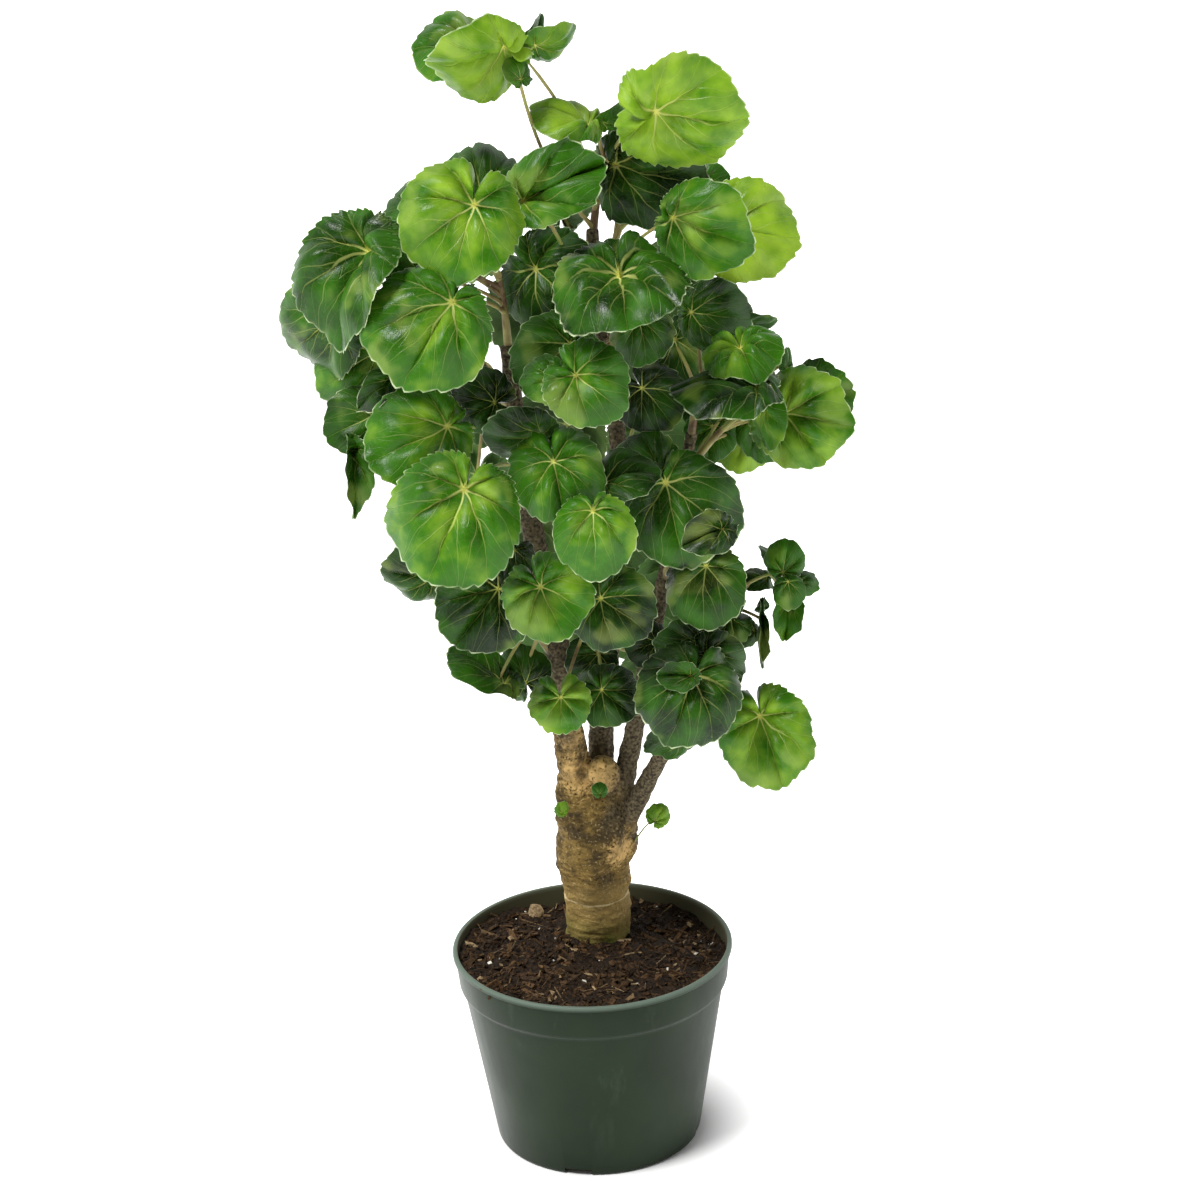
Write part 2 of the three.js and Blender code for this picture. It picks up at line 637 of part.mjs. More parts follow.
const woodRoom = wood(gap)
addNode('pot', potSolid(), potGreen, 0.55)
addNode('soil', soilSolid(woodRoom), earth, 0.95)
addNode('trunk', wood(), bark, 0.85)
for (const [name, plan] of Object.entries(shoots)) {
  addNode(`shoot_${name}`, wholeBody(shoot(plan).subtract(woodRoom)), leafGreen, 0.4)
}
for (const [name, plan] of Object.entries(sprouts)) {
  addNode(`sprout_${name}`, wholeBody(sprout(plan).subtract(woodRoom)), leafGreen, 0.4)
}

export default group
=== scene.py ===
# %% [markdown]
# A potted Balfour aralia
#
# This lesson dresses a plain solid model of a small woody house plant. The solids come from the
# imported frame, in metres, with the pot's underside at the origin and the viewer at -Y.
# Everything is worked out in millimetres and turned to metres when a piece is finished, because
# leaf and bark sizes are easier to check that way.

# %% Load the frame
import math
import random

import bmesh
import bpy
from mathutils import Matrix, Vector, kdtree, noise


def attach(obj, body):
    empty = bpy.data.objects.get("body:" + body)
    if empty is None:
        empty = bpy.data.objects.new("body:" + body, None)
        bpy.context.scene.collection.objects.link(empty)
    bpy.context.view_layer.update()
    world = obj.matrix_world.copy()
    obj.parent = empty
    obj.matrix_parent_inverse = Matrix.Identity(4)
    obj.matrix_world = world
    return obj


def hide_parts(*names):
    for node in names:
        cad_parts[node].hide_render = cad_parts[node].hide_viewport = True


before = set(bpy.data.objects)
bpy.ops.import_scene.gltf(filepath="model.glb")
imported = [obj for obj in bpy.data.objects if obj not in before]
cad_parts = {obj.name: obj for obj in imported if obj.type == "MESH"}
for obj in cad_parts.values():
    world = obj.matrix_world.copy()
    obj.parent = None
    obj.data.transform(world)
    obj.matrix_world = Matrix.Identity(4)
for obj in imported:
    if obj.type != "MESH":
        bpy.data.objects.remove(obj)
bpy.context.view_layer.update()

MM = 0.001
scene = bpy.context.scene
print("nodes to dress:", len(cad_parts))

# %% [markdown]
# The camera stands where the photographer stood: two metres in front of the pot, a little over a
# metre up, looking down at the middle of the plant. It could be placed by trial, but the ellipses
# of the pot's rim and foot fix it, so its numbers are those the solids were drawn with.

# %% Photographer's camera
PHOTO_SIDE = 1200
FOCAL = 3021.7
EYE = Vector((0, -2000, 1164.7))
AIM = Vector((15.2, 0, 420.4))
ROLL = math.radians(-2.16)
SENSOR = 36  # mm

ahead = (AIM - EYE).normalized()
level_right = ahead.cross(Vector((0, 0, 1))).normalized()
rolled = Matrix.Rotation(-ROLL, 3, ahead)
right = rolled @ level_right
up = rolled @ level_right.cross(ahead)
near = -ahead

camera_data = bpy.data.cameras.new("camera")
camera_data.sensor_width = SENSOR
camera_data.lens = SENSOR * FOCAL / PHOTO_SIDE
camera = bpy.data.objects.new("camera", camera_data)
scene.collection.objects.link(camera)
axes = Matrix((right, up, near)).transposed().to_4x4()
camera.matrix_world = Matrix.Translation(EYE * MM) @ axes
scene.camera = camera
print("lens:", round(camera_data.lens, 1), "mm")


# %% [markdown]
# Leaves are placed by what the photograph shows: the pixel where a leaf's veins meet and how far
# back it stands. These two helpers turn such a reading into a point, the first for a known depth
# along Y and the second for a known height, which suits things that lie on the soil.

# %% From pixels to millimetres
def sight_line(u, v):
    """The direction from the eye through a pixel."""
    return ahead * FOCAL + right * (u - PHOTO_SIDE / 2) + up * (PHOTO_SIDE / 2 - v)


def from_photo(place):
    u, v, depth = place
    ray = sight_line(u, v)
    return EYE + ray * ((depth - EYE.y) / ray.y)


def on_level(u, v, height):
    ray = sight_line(u, v)
    return EYE + ray * ((height - EYE.z) / ray.z)


print("middle of the frame at the plant:", [round(c) for c in from_photo((600, 600, 0))])


# %% [markdown]
# Stems, twigs and stalks all follow smooth curves through a few points. Blender has curve
# objects for this, but a plain class that steps evenly along a centripetal spline gives the same
# line as the solids have, and its points can carry a radius each.

# %% Smooth paths
class Path:
    """A smooth curve through points, read by its share of length from 0 to 1."""

    def __init__(self, points, steps=24):
        self.points = []
        for i in range(len(points) - 1):
            a, b = points[i], points[i + 1]
            before = points[i - 1] if i else a * 2 - b
            after = points[i + 2] if i + 2 < len(points) else b * 2 - a
            spans = [math.sqrt((q - p).length) for p, q in ((before, a), (a, b), (b, after))]
            lead = self.slope(before, a, b, spans[0], spans[1]) * spans[1]
            tail = self.slope(a, b, after, spans[1], spans[2]) * spans[1]
            for k in range(steps):
                self.points.append(self.blend(a, b, lead, tail, k / steps))
        self.points.append(points[-1].copy())
        self.lengths = [0.0]
        for p, q in zip(self.points, self.points[1:]):
            self.lengths.append(self.lengths[-1] + (q - p).length)

    @staticmethod
    def slope(p, q, r, first, second):
        return (q - p) / first - (r - p) / (first + second) + (r - q) / second

    @staticmethod
    def blend(a, b, lead, tail, t):
        bend = (b - a) * 3 - lead * 2 - tail
        close = (a - b) * 2 + lead + tail
        return a + lead * t + bend * t**2 + close * t**3

    def at(self, share):
        goal = share * self.lengths[-1]
        i = 0
        while i < len(self.lengths) - 2 and self.lengths[i + 1] < goal:
            i += 1
        step = self.lengths[i + 1] - self.lengths[i]
        return self.points[i].lerp(self.points[i + 1], (goal - self.lengths[i]) / step)

    def evenly(self, steps):
        """Points along the whole curve, at equal shares of its length."""
        return [self.at(k / steps) for k in range(steps + 1)]


def bow(start, middle, end, share):
    """A point on the simple arc that starts and ends at two points and leans to a third."""
    return start.lerp(middle, share).lerp(middle.lerp(end, share), share)


# %% [markdown]
# A tube is a sheet rolled up: a grid is laid along the path, one row of corners for each ring,
# and merging the doubles closes its seam and draws its two ends together. A curve object with a
# bevel would be quicker to write, but it can't carry the attributes that the finishes read.
# Two attributes go with every corner: place says where it is on its leaf or twig, and look holds
# its tone, how near it is to the point of a tooth, and which side of the leaf it is on.

# %% Tubes
def new_mesh():
    bm = bmesh.new()
    bm.verts.layers.float_vector.new("place")
    bm.verts.layers.float_vector.new("look")
    return bm


def ring_frames(points):
    """Two directions across the path at each point, turned as little as possible."""
    frames = []
    side = Vector((0, -1, 0))
    for i, point in enumerate(points):
        ahead_of = points[min(i + 1, len(points) - 1)] - points[max(i - 1, 0)]
        heading = ahead_of.normalized()
        side = (side - heading * side.dot(heading)).normalized()
        frames.append((side, heading.cross(side)))
    return frames


def tube(bm, points, radius, sides, tone=0.5, finish=0):
    """radius(share, angle) is the reach from the path. The angle is 0 at the front."""
    place, look = (bm.verts.layers.float_vector[name] for name in ("place", "look"))
    last = len(points) - 1
    frames = ring_frames(points)
    grid = bmesh.ops.create_grid(bm, x_segments=sides, y_segments=last + 2, size=1)
    for vert in grid["verts"]:
        angle = math.pi * (vert.co.x + 1)
        row = round((vert.co.y + 1) / 2 * (last + 2))
        ring = min(max(row - 1, 0), last)
        capped = row in (0, last + 2)
        share = ring / last
        front, across = frames[ring]
        reach = 0 if capped else radius(share, angle)
        vert.co = points[ring] + (front * math.cos(angle) + across * math.sin(angle)) * reach
        vert[place] = (math.cos(angle), math.sin(angle), share)
        vert[look] = (tone, 0, 1)
    for face in {face for vert in grid["verts"] for face in vert.link_faces}:
        face.material_index = finish
    bmesh.ops.remove_doubles(bm, verts=grid["verts"], dist=1e-4)


# %% [markdown]
# Every piece is finished the same way: normals made to point outwards, millimetres turned to
# metres, smooth shading with the sharp corners kept, its finishes added, the solid that it stands
# for hidden, and the frame told which body it rides on. One function does that, so that no piece
# misses a step, and a smaller one turns a bmesh into an object.

# %% Finish a piece
def object_of(bm, name):
    mesh = bpy.data.meshes.new(name)
    bm.to_mesh(mesh)
    thing = bpy.data.objects.new(name, mesh)
    scene.collection.objects.link(thing)
    return thing


def finish_piece(name, bm, finishes, node, crease=50):
    bmesh.ops.recalc_face_normals(bm, faces=bm.faces)
    bmesh.ops.scale(bm, vec=(MM, MM, MM), verts=bm.verts)
    for edge in bm.edges:
        edge.smooth = edge.calc_face_angle(0) < math.radians(crease)
    for face in bm.faces:
        face.smooth = True
    piece = object_of(bm, name)
    bm.free()
    for finish in finishes:
        piece.data.materials.append(finish)
    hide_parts(node)
    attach(piece, "root")
    triangles = sum(len(polygon.vertices) - 2 for polygon in piece.data.polygons)
    print(f"{name}: {triangles} triangles")
    return triangles


# %% [markdown]
# Materials are built by code from shader nodes. Colours are picked as sRGB hex values, as a
# painter reads them, and one function makes them linear. One more adds any node: its settings by
# name, and its inputs in order or by name, each a number, a colour or another node to link. The
# four kinds of node that come back most often have a short function of their own.

# %% Nodes and colours
def linear(hex_colour):
    parts = [int(hex_colour[i : i + 2], 16) / 255 for i in (1, 3, 5)]
    return [c / 12.92 if c <= 0.04045 else ((c + 0.055) / 1.055) ** 2.4 for c in parts] + [1]


def add(tree, kind, inputs=(), **settings):
    node = tree.nodes.new("ShaderNode" + kind)
    for name, value in settings.items():
        setattr(node, name, value)
    open_inputs = [socket for socket in node.inputs if socket.enabled]
    named = inputs.items() if isinstance(inputs, dict) else enumerate(inputs)
    for key, value in named:
        socket = node.inputs[key] if isinstance(key, str) else open_inputs[key]
        if isinstance(value, bpy.types.Node):
            value = next(output for output in value.outputs if output.enabled)
        if isinstance(value, bpy.types.NodeSocket):
            tree.links.new(value, socket)
        else:
            socket.default_value = linear(value) if isinstance(value, str) else value
    return node


def new_finish(name):
    material = bpy.data.materials.new(name)
    material.use_nodes = True
    material.node_tree.nodes.clear()
    return material, material.node_tree


def per_mm(size):
    """The scale of a pattern in Object coordinates whose grains are so many millimetres wide."""
    return 1 / (size * MM)


def mix(tree, share, colour, other):
    """The share of the other colour that is laid over the first."""
    return add(tree, "Mix", [share, colour, other], data_type="RGBA")


def remap(tree, value, low, high, to_low, to_high, **settings):
    return add(tree, "MapRange", [value, low, high, to_low, to_high], **settings)


def maths(tree, operation, *values):
    return add(tree, "Math", values, operation=operation)


def clouds(tree, where, size, detail, rough=0.5):
    """Noise whose grains are so many millimetres wide."""
    return add(tree, "TexNoise", {"Vector": where, "Scale": per_mm(size), "Detail": detail,
                                  "Roughness": rough})


print("linear mid grey:", round(linear("#808080")[0], 3))

# %% [markdown]
# The leaf blade
#
# The leaves are thick, smooth and waxy, like most house plants from warm woods. From a yellow
# spot above the stalk, seven pale veins spread like fingers, each forks about half-way, and thin
# side veins leave them at a slant. A painted picture could hold that, but a picture has only so
# many pixels and the same veins on each leaf, so the veins are worked out from the place
# attribute: the angle round the hub is folded by the angle between two veins, and the distance
# from the nearest vein then draws the line. A little noise keeps any two leaves from matching.

# %% Blade: where a point is on its leaf
VEIN_ANGLE = math.radians(46)
VEIN_SWEEP = 0.2  # how much the veins curve towards the tip
VEIN_WIDTH = 0.026  # at the hub, in half widths
blade_finish, tree = new_finish("waxy_leaf_cuticle")

where = add(tree, "TexCoord").outputs["Object"]
place = add(tree, "Attribute", attribute_name="place").outputs["Vector"]
look = add(tree, "SeparateXYZ", [add(tree, "Attribute", attribute_name="look").outputs["Vector"]])
tone, tooth, side = look.outputs
drift = clouds(tree, where, 24, 1.0)
drift = add(tree, "VectorMath", [drift.outputs["Color"], (0.18,) * 3, (-0.09,) * 3],
            operation="MULTIPLY_ADD")
bent = add(tree, "VectorMath", [place, drift])
share = add(tree, "SeparateXYZ", [place]).outputs["Z"]
flat = add(tree, "VectorMath", [bent, (1, 1, 0)], operation="MULTIPLY")
reach = add(tree, "VectorMath", [flat], operation="LENGTH")
sides = add(tree, "SeparateXYZ", [flat])
turn = maths(tree, "ARCTAN2", sides.outputs["Y"], sides.outputs["X"])
turn = maths(tree, "ABSOLUTE", turn)
aside = maths(tree, "ABSOLUTE", sides.outputs["Y"])
turn = maths(tree, "MULTIPLY_ADD", aside, VEIN_SWEEP, turn)
turn = maths(tree, "PINGPONG", turn, VEIN_ANGLE / 2)
print("angle between two main veins:", round(math.degrees(VEIN_ANGLE)), "degrees")

# %% [markdown]
# The widths below are in half widths of a blade, so 0.02 is just under a millimetre on the
# largest leaf. The main veins thin out towards the edge, as the real ones do. The finest net,
# about 4 mm a cell, is real too, though it only shows as a slight mottling.

# %% Blade: veins
off = maths(tree, "MULTIPLY", reach, maths(tree, "SINE", turn))
far = maths(tree, "MULTIPLY", reach, maths(tree, "COSINE", turn))
width = remap(tree, share, 0.0, 0.9, VEIN_WIDTH, 0.008)
core = maths(tree, "MULTIPLY", width, 0.3)
main = remap(tree, off, width, core, 0.0, 1.0, interpolation_type="SMOOTHSTEP")
spread = remap(tree, reach, 0.4, 1.4, 0.0, 0.5)
beside = maths(tree, "SUBTRACT", off, spread)
beside = maths(tree, "ABSOLUTE", beside)
fork_line = remap(tree, beside, 0.012, 0.003, 0.0, 0.6)
slant = maths(tree, "MULTIPLY_ADD", off, -1.1, far)
slant = maths(tree, "PINGPONG", slant, 0.13)
rib = remap(tree, slant, 0.012, 0.003, 0.0, 0.28)
cells = add(tree, "TexVoronoi", {"Vector": bent, "Scale": 11.0}, feature="DISTANCE_TO_EDGE")
net = remap(tree, cells, 0.06, 0.0, 0.0, 0.12)
veins = maths(tree, "MAXIMUM", main, fork_line)
veins = maths(tree, "MAXIMUM", veins, rib)
veins = maths(tree, "MAXIMUM", veins, net)
print("main vein at the hub of a 90 mm leaf:", round(90 * VEIN_WIDTH, 1), "mm")

# %% [markdown]
# The tone of a leaf goes from dark green to yellow-green. It is partly the leaf's own colour,
# darker when old and yellower when young, and partly painted light: leaves deep in the crown and
# at the back get darker tones as painted shade, and back-lit leaves at the top lighter ones as a
# painted glow. It also changes within a leaf: paler blotches, partly a painted sheen, and a
# lighter middle. The edge is a thin pale line that is widest at the points of the teeth, and the
# underside is paler and duller all over.

# %% Blade: colour
# Dark tones stand partly for painted shade, and the lightest partly for a painted glow.
OLD_AND_SHADED_LEAF, MIDDLE_LEAF, YOUNG_AND_LIT_LEAF = "#0b2404", "#33690a", "#97bb2e"
blotch = clouds(tree, where, 26, 3.0)
shade = remap(tree, blotch, 0.3, 0.7, -0.32, 0.1)
shade = maths(tree, "ADD", tone, shade)
middle = remap(tree, share, 0.0, 0.7, 0.1, 0.0)
shade = maths(tree, "ADD", shade, middle)
dark_half = remap(tree, shade, 0.0, 0.5, 0.0, 1.0)
light_half = remap(tree, shade, 0.5, 1.0, 0.0, 1.0)
colour = mix(tree, dark_half, OLD_AND_SHADED_LEAF, MIDDLE_LEAF)
colour = mix(tree, light_half, colour, YOUNG_AND_LIT_LEAF)
# Pale patches: partly paler blotches of the leaf and partly a painted sheen of the wax.
cloud = clouds(tree, where, 38, 2.0)
patch = remap(tree, cloud, 0.56, 0.66, 0.0, 0.26, interpolation_type="SMOOTHSTEP")
colour = mix(tree, patch, colour, "#a6bd58")
vein_tone = remap(tree, share, 0.0, 0.75, 1.0, 0.0)
paler = mix(tree, 0.35, colour, "#bccb6e")
vein_colour = mix(tree, vein_tone, paler, "#d3d880")
strength = remap(tree, share, 0.1, 1.0, 0.85, 0.45)
strength = maths(tree, "MULTIPLY", veins, strength)
colour = mix(tree, strength, colour, vein_colour)
hub = remap(tree, reach, 0.085, 0.02, 0.0, 0.9, interpolation_type="SMOOTHSTEP")
colour = mix(tree, hub, colour, "#d5d66a")
rim = maths(tree, "MULTIPLY_ADD", tooth, 0.65, 0.2)
rim_edge = remap(tree, share, 0.984, 0.992, 0.0, 1.0)
rim = maths(tree, "MULTIPLY", rim, rim_edge)
broken = clouds(tree, where, 11, 1.0)
broken = remap(tree, broken, 0.42, 0.58, 0.35, 1.0)
rim = maths(tree, "MULTIPLY", rim, broken)
colour = mix(tree, rim, colour, "#cfdcae")
under = remap(tree, side, 0.1, -0.1, 0.0, 0.4)
colour = mix(tree, under, colour, "#76955f")
print("tones run from", linear(OLD_AND_SHADED_LEAF)[:3], "to", linear(YOUNG_AND_LIT_LEAF)[:3])

# %% [markdown]
# Wax makes the upper side shine softly: a leaf has an index of refraction near 1.4, a roughness
# of about a third, and the blade dips along its veins. The dips and a fine grain come from one
# bump node, in metres.

# %% Blade: shine and relief
grain = clouds(tree, where, 1.6, 2.0)
height = maths(tree, "MULTIPLY_ADD", veins, -1.0, maths(tree, "MULTIPLY", grain, 0.25))
bump = add(tree, "Bump", {"Strength": 0.7, "Distance": 0.5 * MM, "Height": height})
rough = remap(tree, blotch, 0.35, 0.65, 0.25, 0.39)
rough = maths(tree, "MULTIPLY_ADD", under, 0.5, rough)
shader = add(tree, "BsdfPrincipled", {
    "Base Color": colour, "Roughness": rough, "Normal": bump, "IOR": 1.42,
    "Specular IOR Level": 0.26,
})
add(tree, "OutputMaterial", [shader])
print("nodes in the blade finish:", len(tree.nodes))

# %% [markdown]
# Stalks and young stems are green to straw-coloured and turn brown with age, with a fine
# lengthwise grain. Their tone attribute says how brown they are.

# %% Stalk finish
stalk_finish, tree = new_finish("green_stalk_skin")
where = add(tree, "TexCoord").outputs["Object"]
look = add(tree, "SeparateXYZ", [add(tree, "Attribute", attribute_name="look").outputs["Vector"]])
mottle = clouds(tree, where, 18, 3.0)
brown = remap(tree, mottle, 0.35, 0.65, -0.35, 0.35)
brown = maths(tree, "ADD", look.outputs["X"], brown)
young = remap(tree, brown, 0.0, 0.5, 0.0, 1.0)
old = remap(tree, brown, 0.5, 1.0, 0.0, 1.0)
colour = mix(tree, young, "#8b9a4a", "#a3975a")
colour = mix(tree, old, colour, "#5f472c")
grain = clouds(tree, where, 1.5, 2.0)
bump = add(tree, "Bump", {"Strength": 0.5, "Distance": 0.3 * MM, "Height": grain})
rough = remap(tree, mottle, 0.3, 0.7, 0.38, 0.55)
shader = add(tree, "BsdfPrincipled", {
    "Base Color": colour, "Roughness": rough, "Normal": bump, "IOR": 1.45,
})
add(tree, "OutputMaterial", [shader])
print("nodes in the stalk finish:", len(tree.nodes))

# %% [markdown]
# A blade is read from the photograph by its hub, its width and the way its tip points in the
# picture. Lean brings the tip towards the viewer, turn swings it about its midrib, fold raises
# both halves like a book, and cup lifts the edge. Seat and aside say how far the blade's middle
# is from its hub, and tone is how light the leaf is. Drops are the places where the edge falls
# away: the way to each, how far out it starts, and its slope. A leaf whose drops weren't read
# gets two, drawn from its place. Three small functions say which kind of leaf is meant: a plain
# one, one at the back that the photograph hides, and a stalk that forks to several blades.

# %% Leaf readings
def chance_drops(hub, lean, turn):
    """Two drops, gentler on a blade that is seen from its side."""
    first, second = hub[0] * 7.3 + hub[1] * 3.1, hub[0] * 3.7 + hub[1] * 9.1
    facing = abs(math.cos(math.radians(lean)) * math.cos(math.radians(turn)))
    slope = max(0, facing - 0.6) * 1.4
    other = slope * (0.8 + 0.7 * math.sin(first))
    return [(first % 360, 0.5, slope), (second % 360, 0.65, other)]


def leaf(start, hub, width, tip, tone, lean=0, turn=0, cup=0.1, fold=0, seat=0.35, aside=0,
         drops=None, bend=None):
    if drops is None:
        drops = chance_drops(hub, lean, turn)
    return {"start": start, "hub": hub, "width": width, "tip": tip, "tone": tone, "lean": lean,
            "turn": turn, "cup": cup, "fold": fold, "seat": seat, "aside": aside,
            "drops": [(math.radians(way - tip), line, slope) for way, line, slope in drops],
            "bend": bend}


def behind(start, hub, width, tip, tone):
    away = 180 + 26 * math.cos(math.radians(tip))
    return leaf(start, hub, width, tip, tone, lean=-24, turn=away)


def fork(start, place, blades, bend=None):
    return {"start": start, "fork": place, "blades": blades, "bend": bend}


def shoot(branch, share, through, leaves):
    return {"branch": branch, "share": share, "through": through, "leaves": leaves}


def blade_axes(spec):
    """The hub, the way to the tip, the way out of the upper side, and the way to its left."""
    tip, lean = math.radians(spec["tip"]), math.radians(spec["lean"])
    flat_tip = right * math.cos(tip) + up * math.sin(tip)
    along = flat_tip * math.cos(lean) + near * math.sin(lean)
    face = near * math.cos(lean) - flat_tip * math.sin(lean)
    swing = Matrix.Rotation(math.radians(spec["turn"]), 3, along)
    left = swing @ face.cross(along)
    return from_photo(spec["hub"]), along, swing @ face, left


example = leaf(0.5, (600, 400, 0), 80, 270, 0.5)
print("a test leaf's tip points:", [round(c, 2) for c in blade_axes(example)[1]])

# %% [markdown]
# The outline is a circle whose hub sits off its middle, with a few broad lobes, up to forty
# small teeth that lean towards the tip, and a notch behind the hub. The teeth keep their
# size in millimetres, so a small leaf has fewer of them. Columns of the mesh follow the teeth,
# four to each, so that every point is sharp.

# %% Outline of a blade
HIND = math.radians(167)  # from the tip to a hind lobe, for counting lobes and teeth
LOBE_CORNERS = ((68, 18), (46, 14), (26, 10), (0, 8))  # for blades wider than so many mm
ROUNDING = 0.38  # radians over which the hind lobes round off
NOTCH = 0.1  # from the hub back to the notch, in half widths
TOOTH_SPACING = 6.8  # mm along the edge
TOOTH_DEPTH = 2.1  # mm on the largest leaves
LARGE_HALF = 44  # mm, half the width of a large leaf
BITE = (0, 0.4, 0.8, 1)  # how far each of a tooth's four columns stands out
NOTCH_COLUMNS = 5


def lobe_step(width):
    corners = next(count for least, count in LOBE_CORNERS if width > least)
    return HIND / (corners / 2 - 1)


def hind_angle(spec):
    """From the tip round to the hind lobes, which nearly close over the notch."""
    return math.radians(173 + 4 * math.sin(spec["hub"][0] * 1.7 + spec["hub"][1]))


def edge_reach(angle, spec):
    along, aside = spec["seat"], spec["aside"]
    toward = along * math.cos(angle) + aside * math.sin(angle)
    across = along * math.sin(angle) - aside * math.cos(angle)
    oval = toward + math.sqrt(1 - across**2)
    wander = noise.noise(Vector((1.9 * angle, spec["hub"][0] * 0.37, spec["hub"][1] * 0.31)))
    dents = noise.noise(Vector((4.2 * angle, spec["hub"][0] * 0.29, spec["hub"][1] * 0.23)))
    lobes = 0.975 + 0.016 * math.cos(math.pi * angle / lobe_step(spec["width"]))
    rounding = max(0, abs(angle) - hind_angle(spec) + ROUNDING) / ROUNDING
    return oval * (lobes + 0.06 * wander + 0.03 * dents) * (1 - 0.34 * rounding**2)


def outline(spec):
    """Points of the edge, from the notch round by the tip and back. Each has its place, how far
    out it is on its tooth from 0 to 1, and how deep that tooth is, with lengths in half widths."""
    half = spec["width"] / 2
    teeth = max(6, round(HIND * half * 0.95 / TOOTH_SPACING)) * 2
    depth = TOOTH_DEPTH / LARGE_HALF * math.sqrt(LARGE_HALF / half)
    points = []
    for i in range(teeth * 4 + 1):
        angle = hind_angle(spec) * (i / (teeth * 2) - 1)
        bite = BITE[i % 4] if i < teeth * 2 else BITE[-i % 4]
        size = 0.8 + 0.9 * noise.noise(Vector((angle * 3.1, spec["hub"][1] * 0.7, 3)))
        reach = edge_reach(angle, spec)
        points.append((Vector((math.cos(angle), math.sin(angle))) * reach, bite, depth * size))
    notch = Vector((-NOTCH, 0))
    hind = [points[0][0], points[-1][0]]
    first = [(notch.lerp(hind[0], k / NOTCH_COLUMNS), 0, 0) for k in range(NOTCH_COLUMNS)]
    after = [(notch.lerp(hind[1], k / NOTCH_COLUMNS), 0, 0) for k in range(NOTCH_COLUMNS)]
    return first + points + after[::-1]


print("columns round a 90 mm leaf:", len(outline(leaf(0, (1, 1, 1), 90, 0, 0.5))))

# %% [markdown]
# A blade starts as a flat grid. Its rows run from the hub along the underside to the edge and
# back along the upper side to the hub, so merging the doubles leaves a closed skin that is thin
# at its edge, like the real one. Between the veins the blade bulges by a few millimetres, near
# the edge it curls down in places, and slow noise keeps it from lying flat.

# %% Blade mesh
RINGS = (0, 0.07, 0.18, 0.3, 0.42, 0.54, 0.65, 0.75, 0.84, 0.91, 0.96, 0.988, 1)
THICKNESS = 0.7  # mm
TOOTH_START = 0.88  # the share of the way out where the teeth begin to show
HIND_START = 1.9  # radians from the tip where the hind lobes begin


def lift(spec, spot, share, phase):
    """How far a point stands out from the flat blade, in half widths, by cup, dome and curl."""
    angle = math.atan2(spot.y, spot.x)
    swell = 0.06 * math.cos(3 * angle + phase)
    dome = 0.1 * math.sin(math.pi * share**0.8)
    sway = noise.noise(Vector((angle * 0.8, spec["hub"][0] * 0.13, spec["hub"][1] * 0.17)))
    curl = max(0, share - 0.6) ** 2 * max(0, 0.6 + 3.2 * sway)
    hind = max(0, abs(angle) - HIND_START) * (1 if angle > 0 else -1)
    for way, line, slope in spec["drops"]:
        past = max(0, spot.x * math.cos(way) + spot.y * math.sin(way) - line)
        curl += slope * past**2 / (past + 0.2)
    return spot.length * (spec["cup"] + swell + 0.1 * hind) + dome - curl


def puckers(spec, spot, share):
    """Bulges between the veins and slow dents, in half widths."""
    angle = abs(math.atan2(spot.y, spot.x)) + VEIN_SWEEP * abs(spot.y)
    sector = math.copysign(int(angle / VEIN_ANGLE) + 1, spot.y)
    sector_seed = Vector((sector * 2.7, spec["hub"][0] * 0.51, spec["hub"][1] * 0.47))
    fullness = 1 + 1.5 * noise.noise(sector_seed)
    between = abs(math.sin(math.pi * angle / VEIN_ANGLE)) ** 0.75 * fullness
    swell = math.sin(math.pi * share**0.9) + 0.45 * share
    seed = Vector((spec["hub"][0] * 0.61, spec["hub"][1] * 0.43, spec["width"]))
    dent = noise.noise(Vector((spot.x * 1.7, spot.y * 1.7, 0)) + seed)
    fine = noise.noise(Vector((spot.x * 5, spot.y * 5, 9)) + seed)
    return 0.13 * between * swell * min(1, 3 * share) + (0.1 * dent + 0.014 * fine) * share


def add_blade(bm, spec):
    hub, along, face_way, left = blade_axes(spec)
    half, fold = spec["width"] / 2, math.radians(spec["fold"])
    edge = outline(spec)
    columns, rows = len(edge), 2 * len(RINGS) - 2
    place, look = (bm.verts.layers.float_vector[name] for name in ("place", "look"))
    grid = bmesh.ops.create_grid(bm, x_segments=columns, y_segments=rows, size=1)
    for vert in grid["verts"]:
        column = round((vert.co.x + 1) / 2 * columns) % columns
        row = round((vert.co.y + 1) / 2 * rows)
        share = RINGS[min(row, rows - row)]
        rim, bite, depth = edge[column]
        jut = bite * depth * max(0, share - TOOTH_START) / (1 - TOOTH_START)
        spot = rim * share + rim.normalized() * jut
        level = row - rows / 2
        side = (level > 0) - (level < 0)
        lie = max(-1, min(1, spot.y * 6)) * math.sin(fold)
        normal = (face_way * math.cos(fold) - left * lie).normalized()
        thick = THICKNESS / 2 * math.sqrt(1 - share**6) / half
        stand = puckers(spec, spot, share) + side * thick
        rise = lift(spec, spot, share, hub.x) * math.cos(fold)
        rise += abs(spot.y) * math.sin(fold)
        flat = along * spot.x + left * (spot.y * math.cos(fold))
        vert.co = hub + (flat + face_way * rise + normal * stand) * half
        vert[place] = (spot.x, spot.y, share)
        vert[look] = (spec["tone"], bite if share > 0.9 else 0, side)
    bmesh.ops.remove_doubles(bm, verts=grid["verts"], dist=1e-4)


trial = new_mesh()
add_blade(trial, example)
print("triangles in an 80 mm blade:", sum(len(face.verts) - 2 for face in trial.faces))
print("open edges in it:", sum(not edge.is_manifold for edge in trial.edges))
trial.free()

# %% [markdown]
# A leaf stalk leaves its stem, arches up a little and meets its blade from beneath, just ahead of
# the hub. The real ones swell slightly where they join the stem and under the blade, so the
# tube's radius does too.

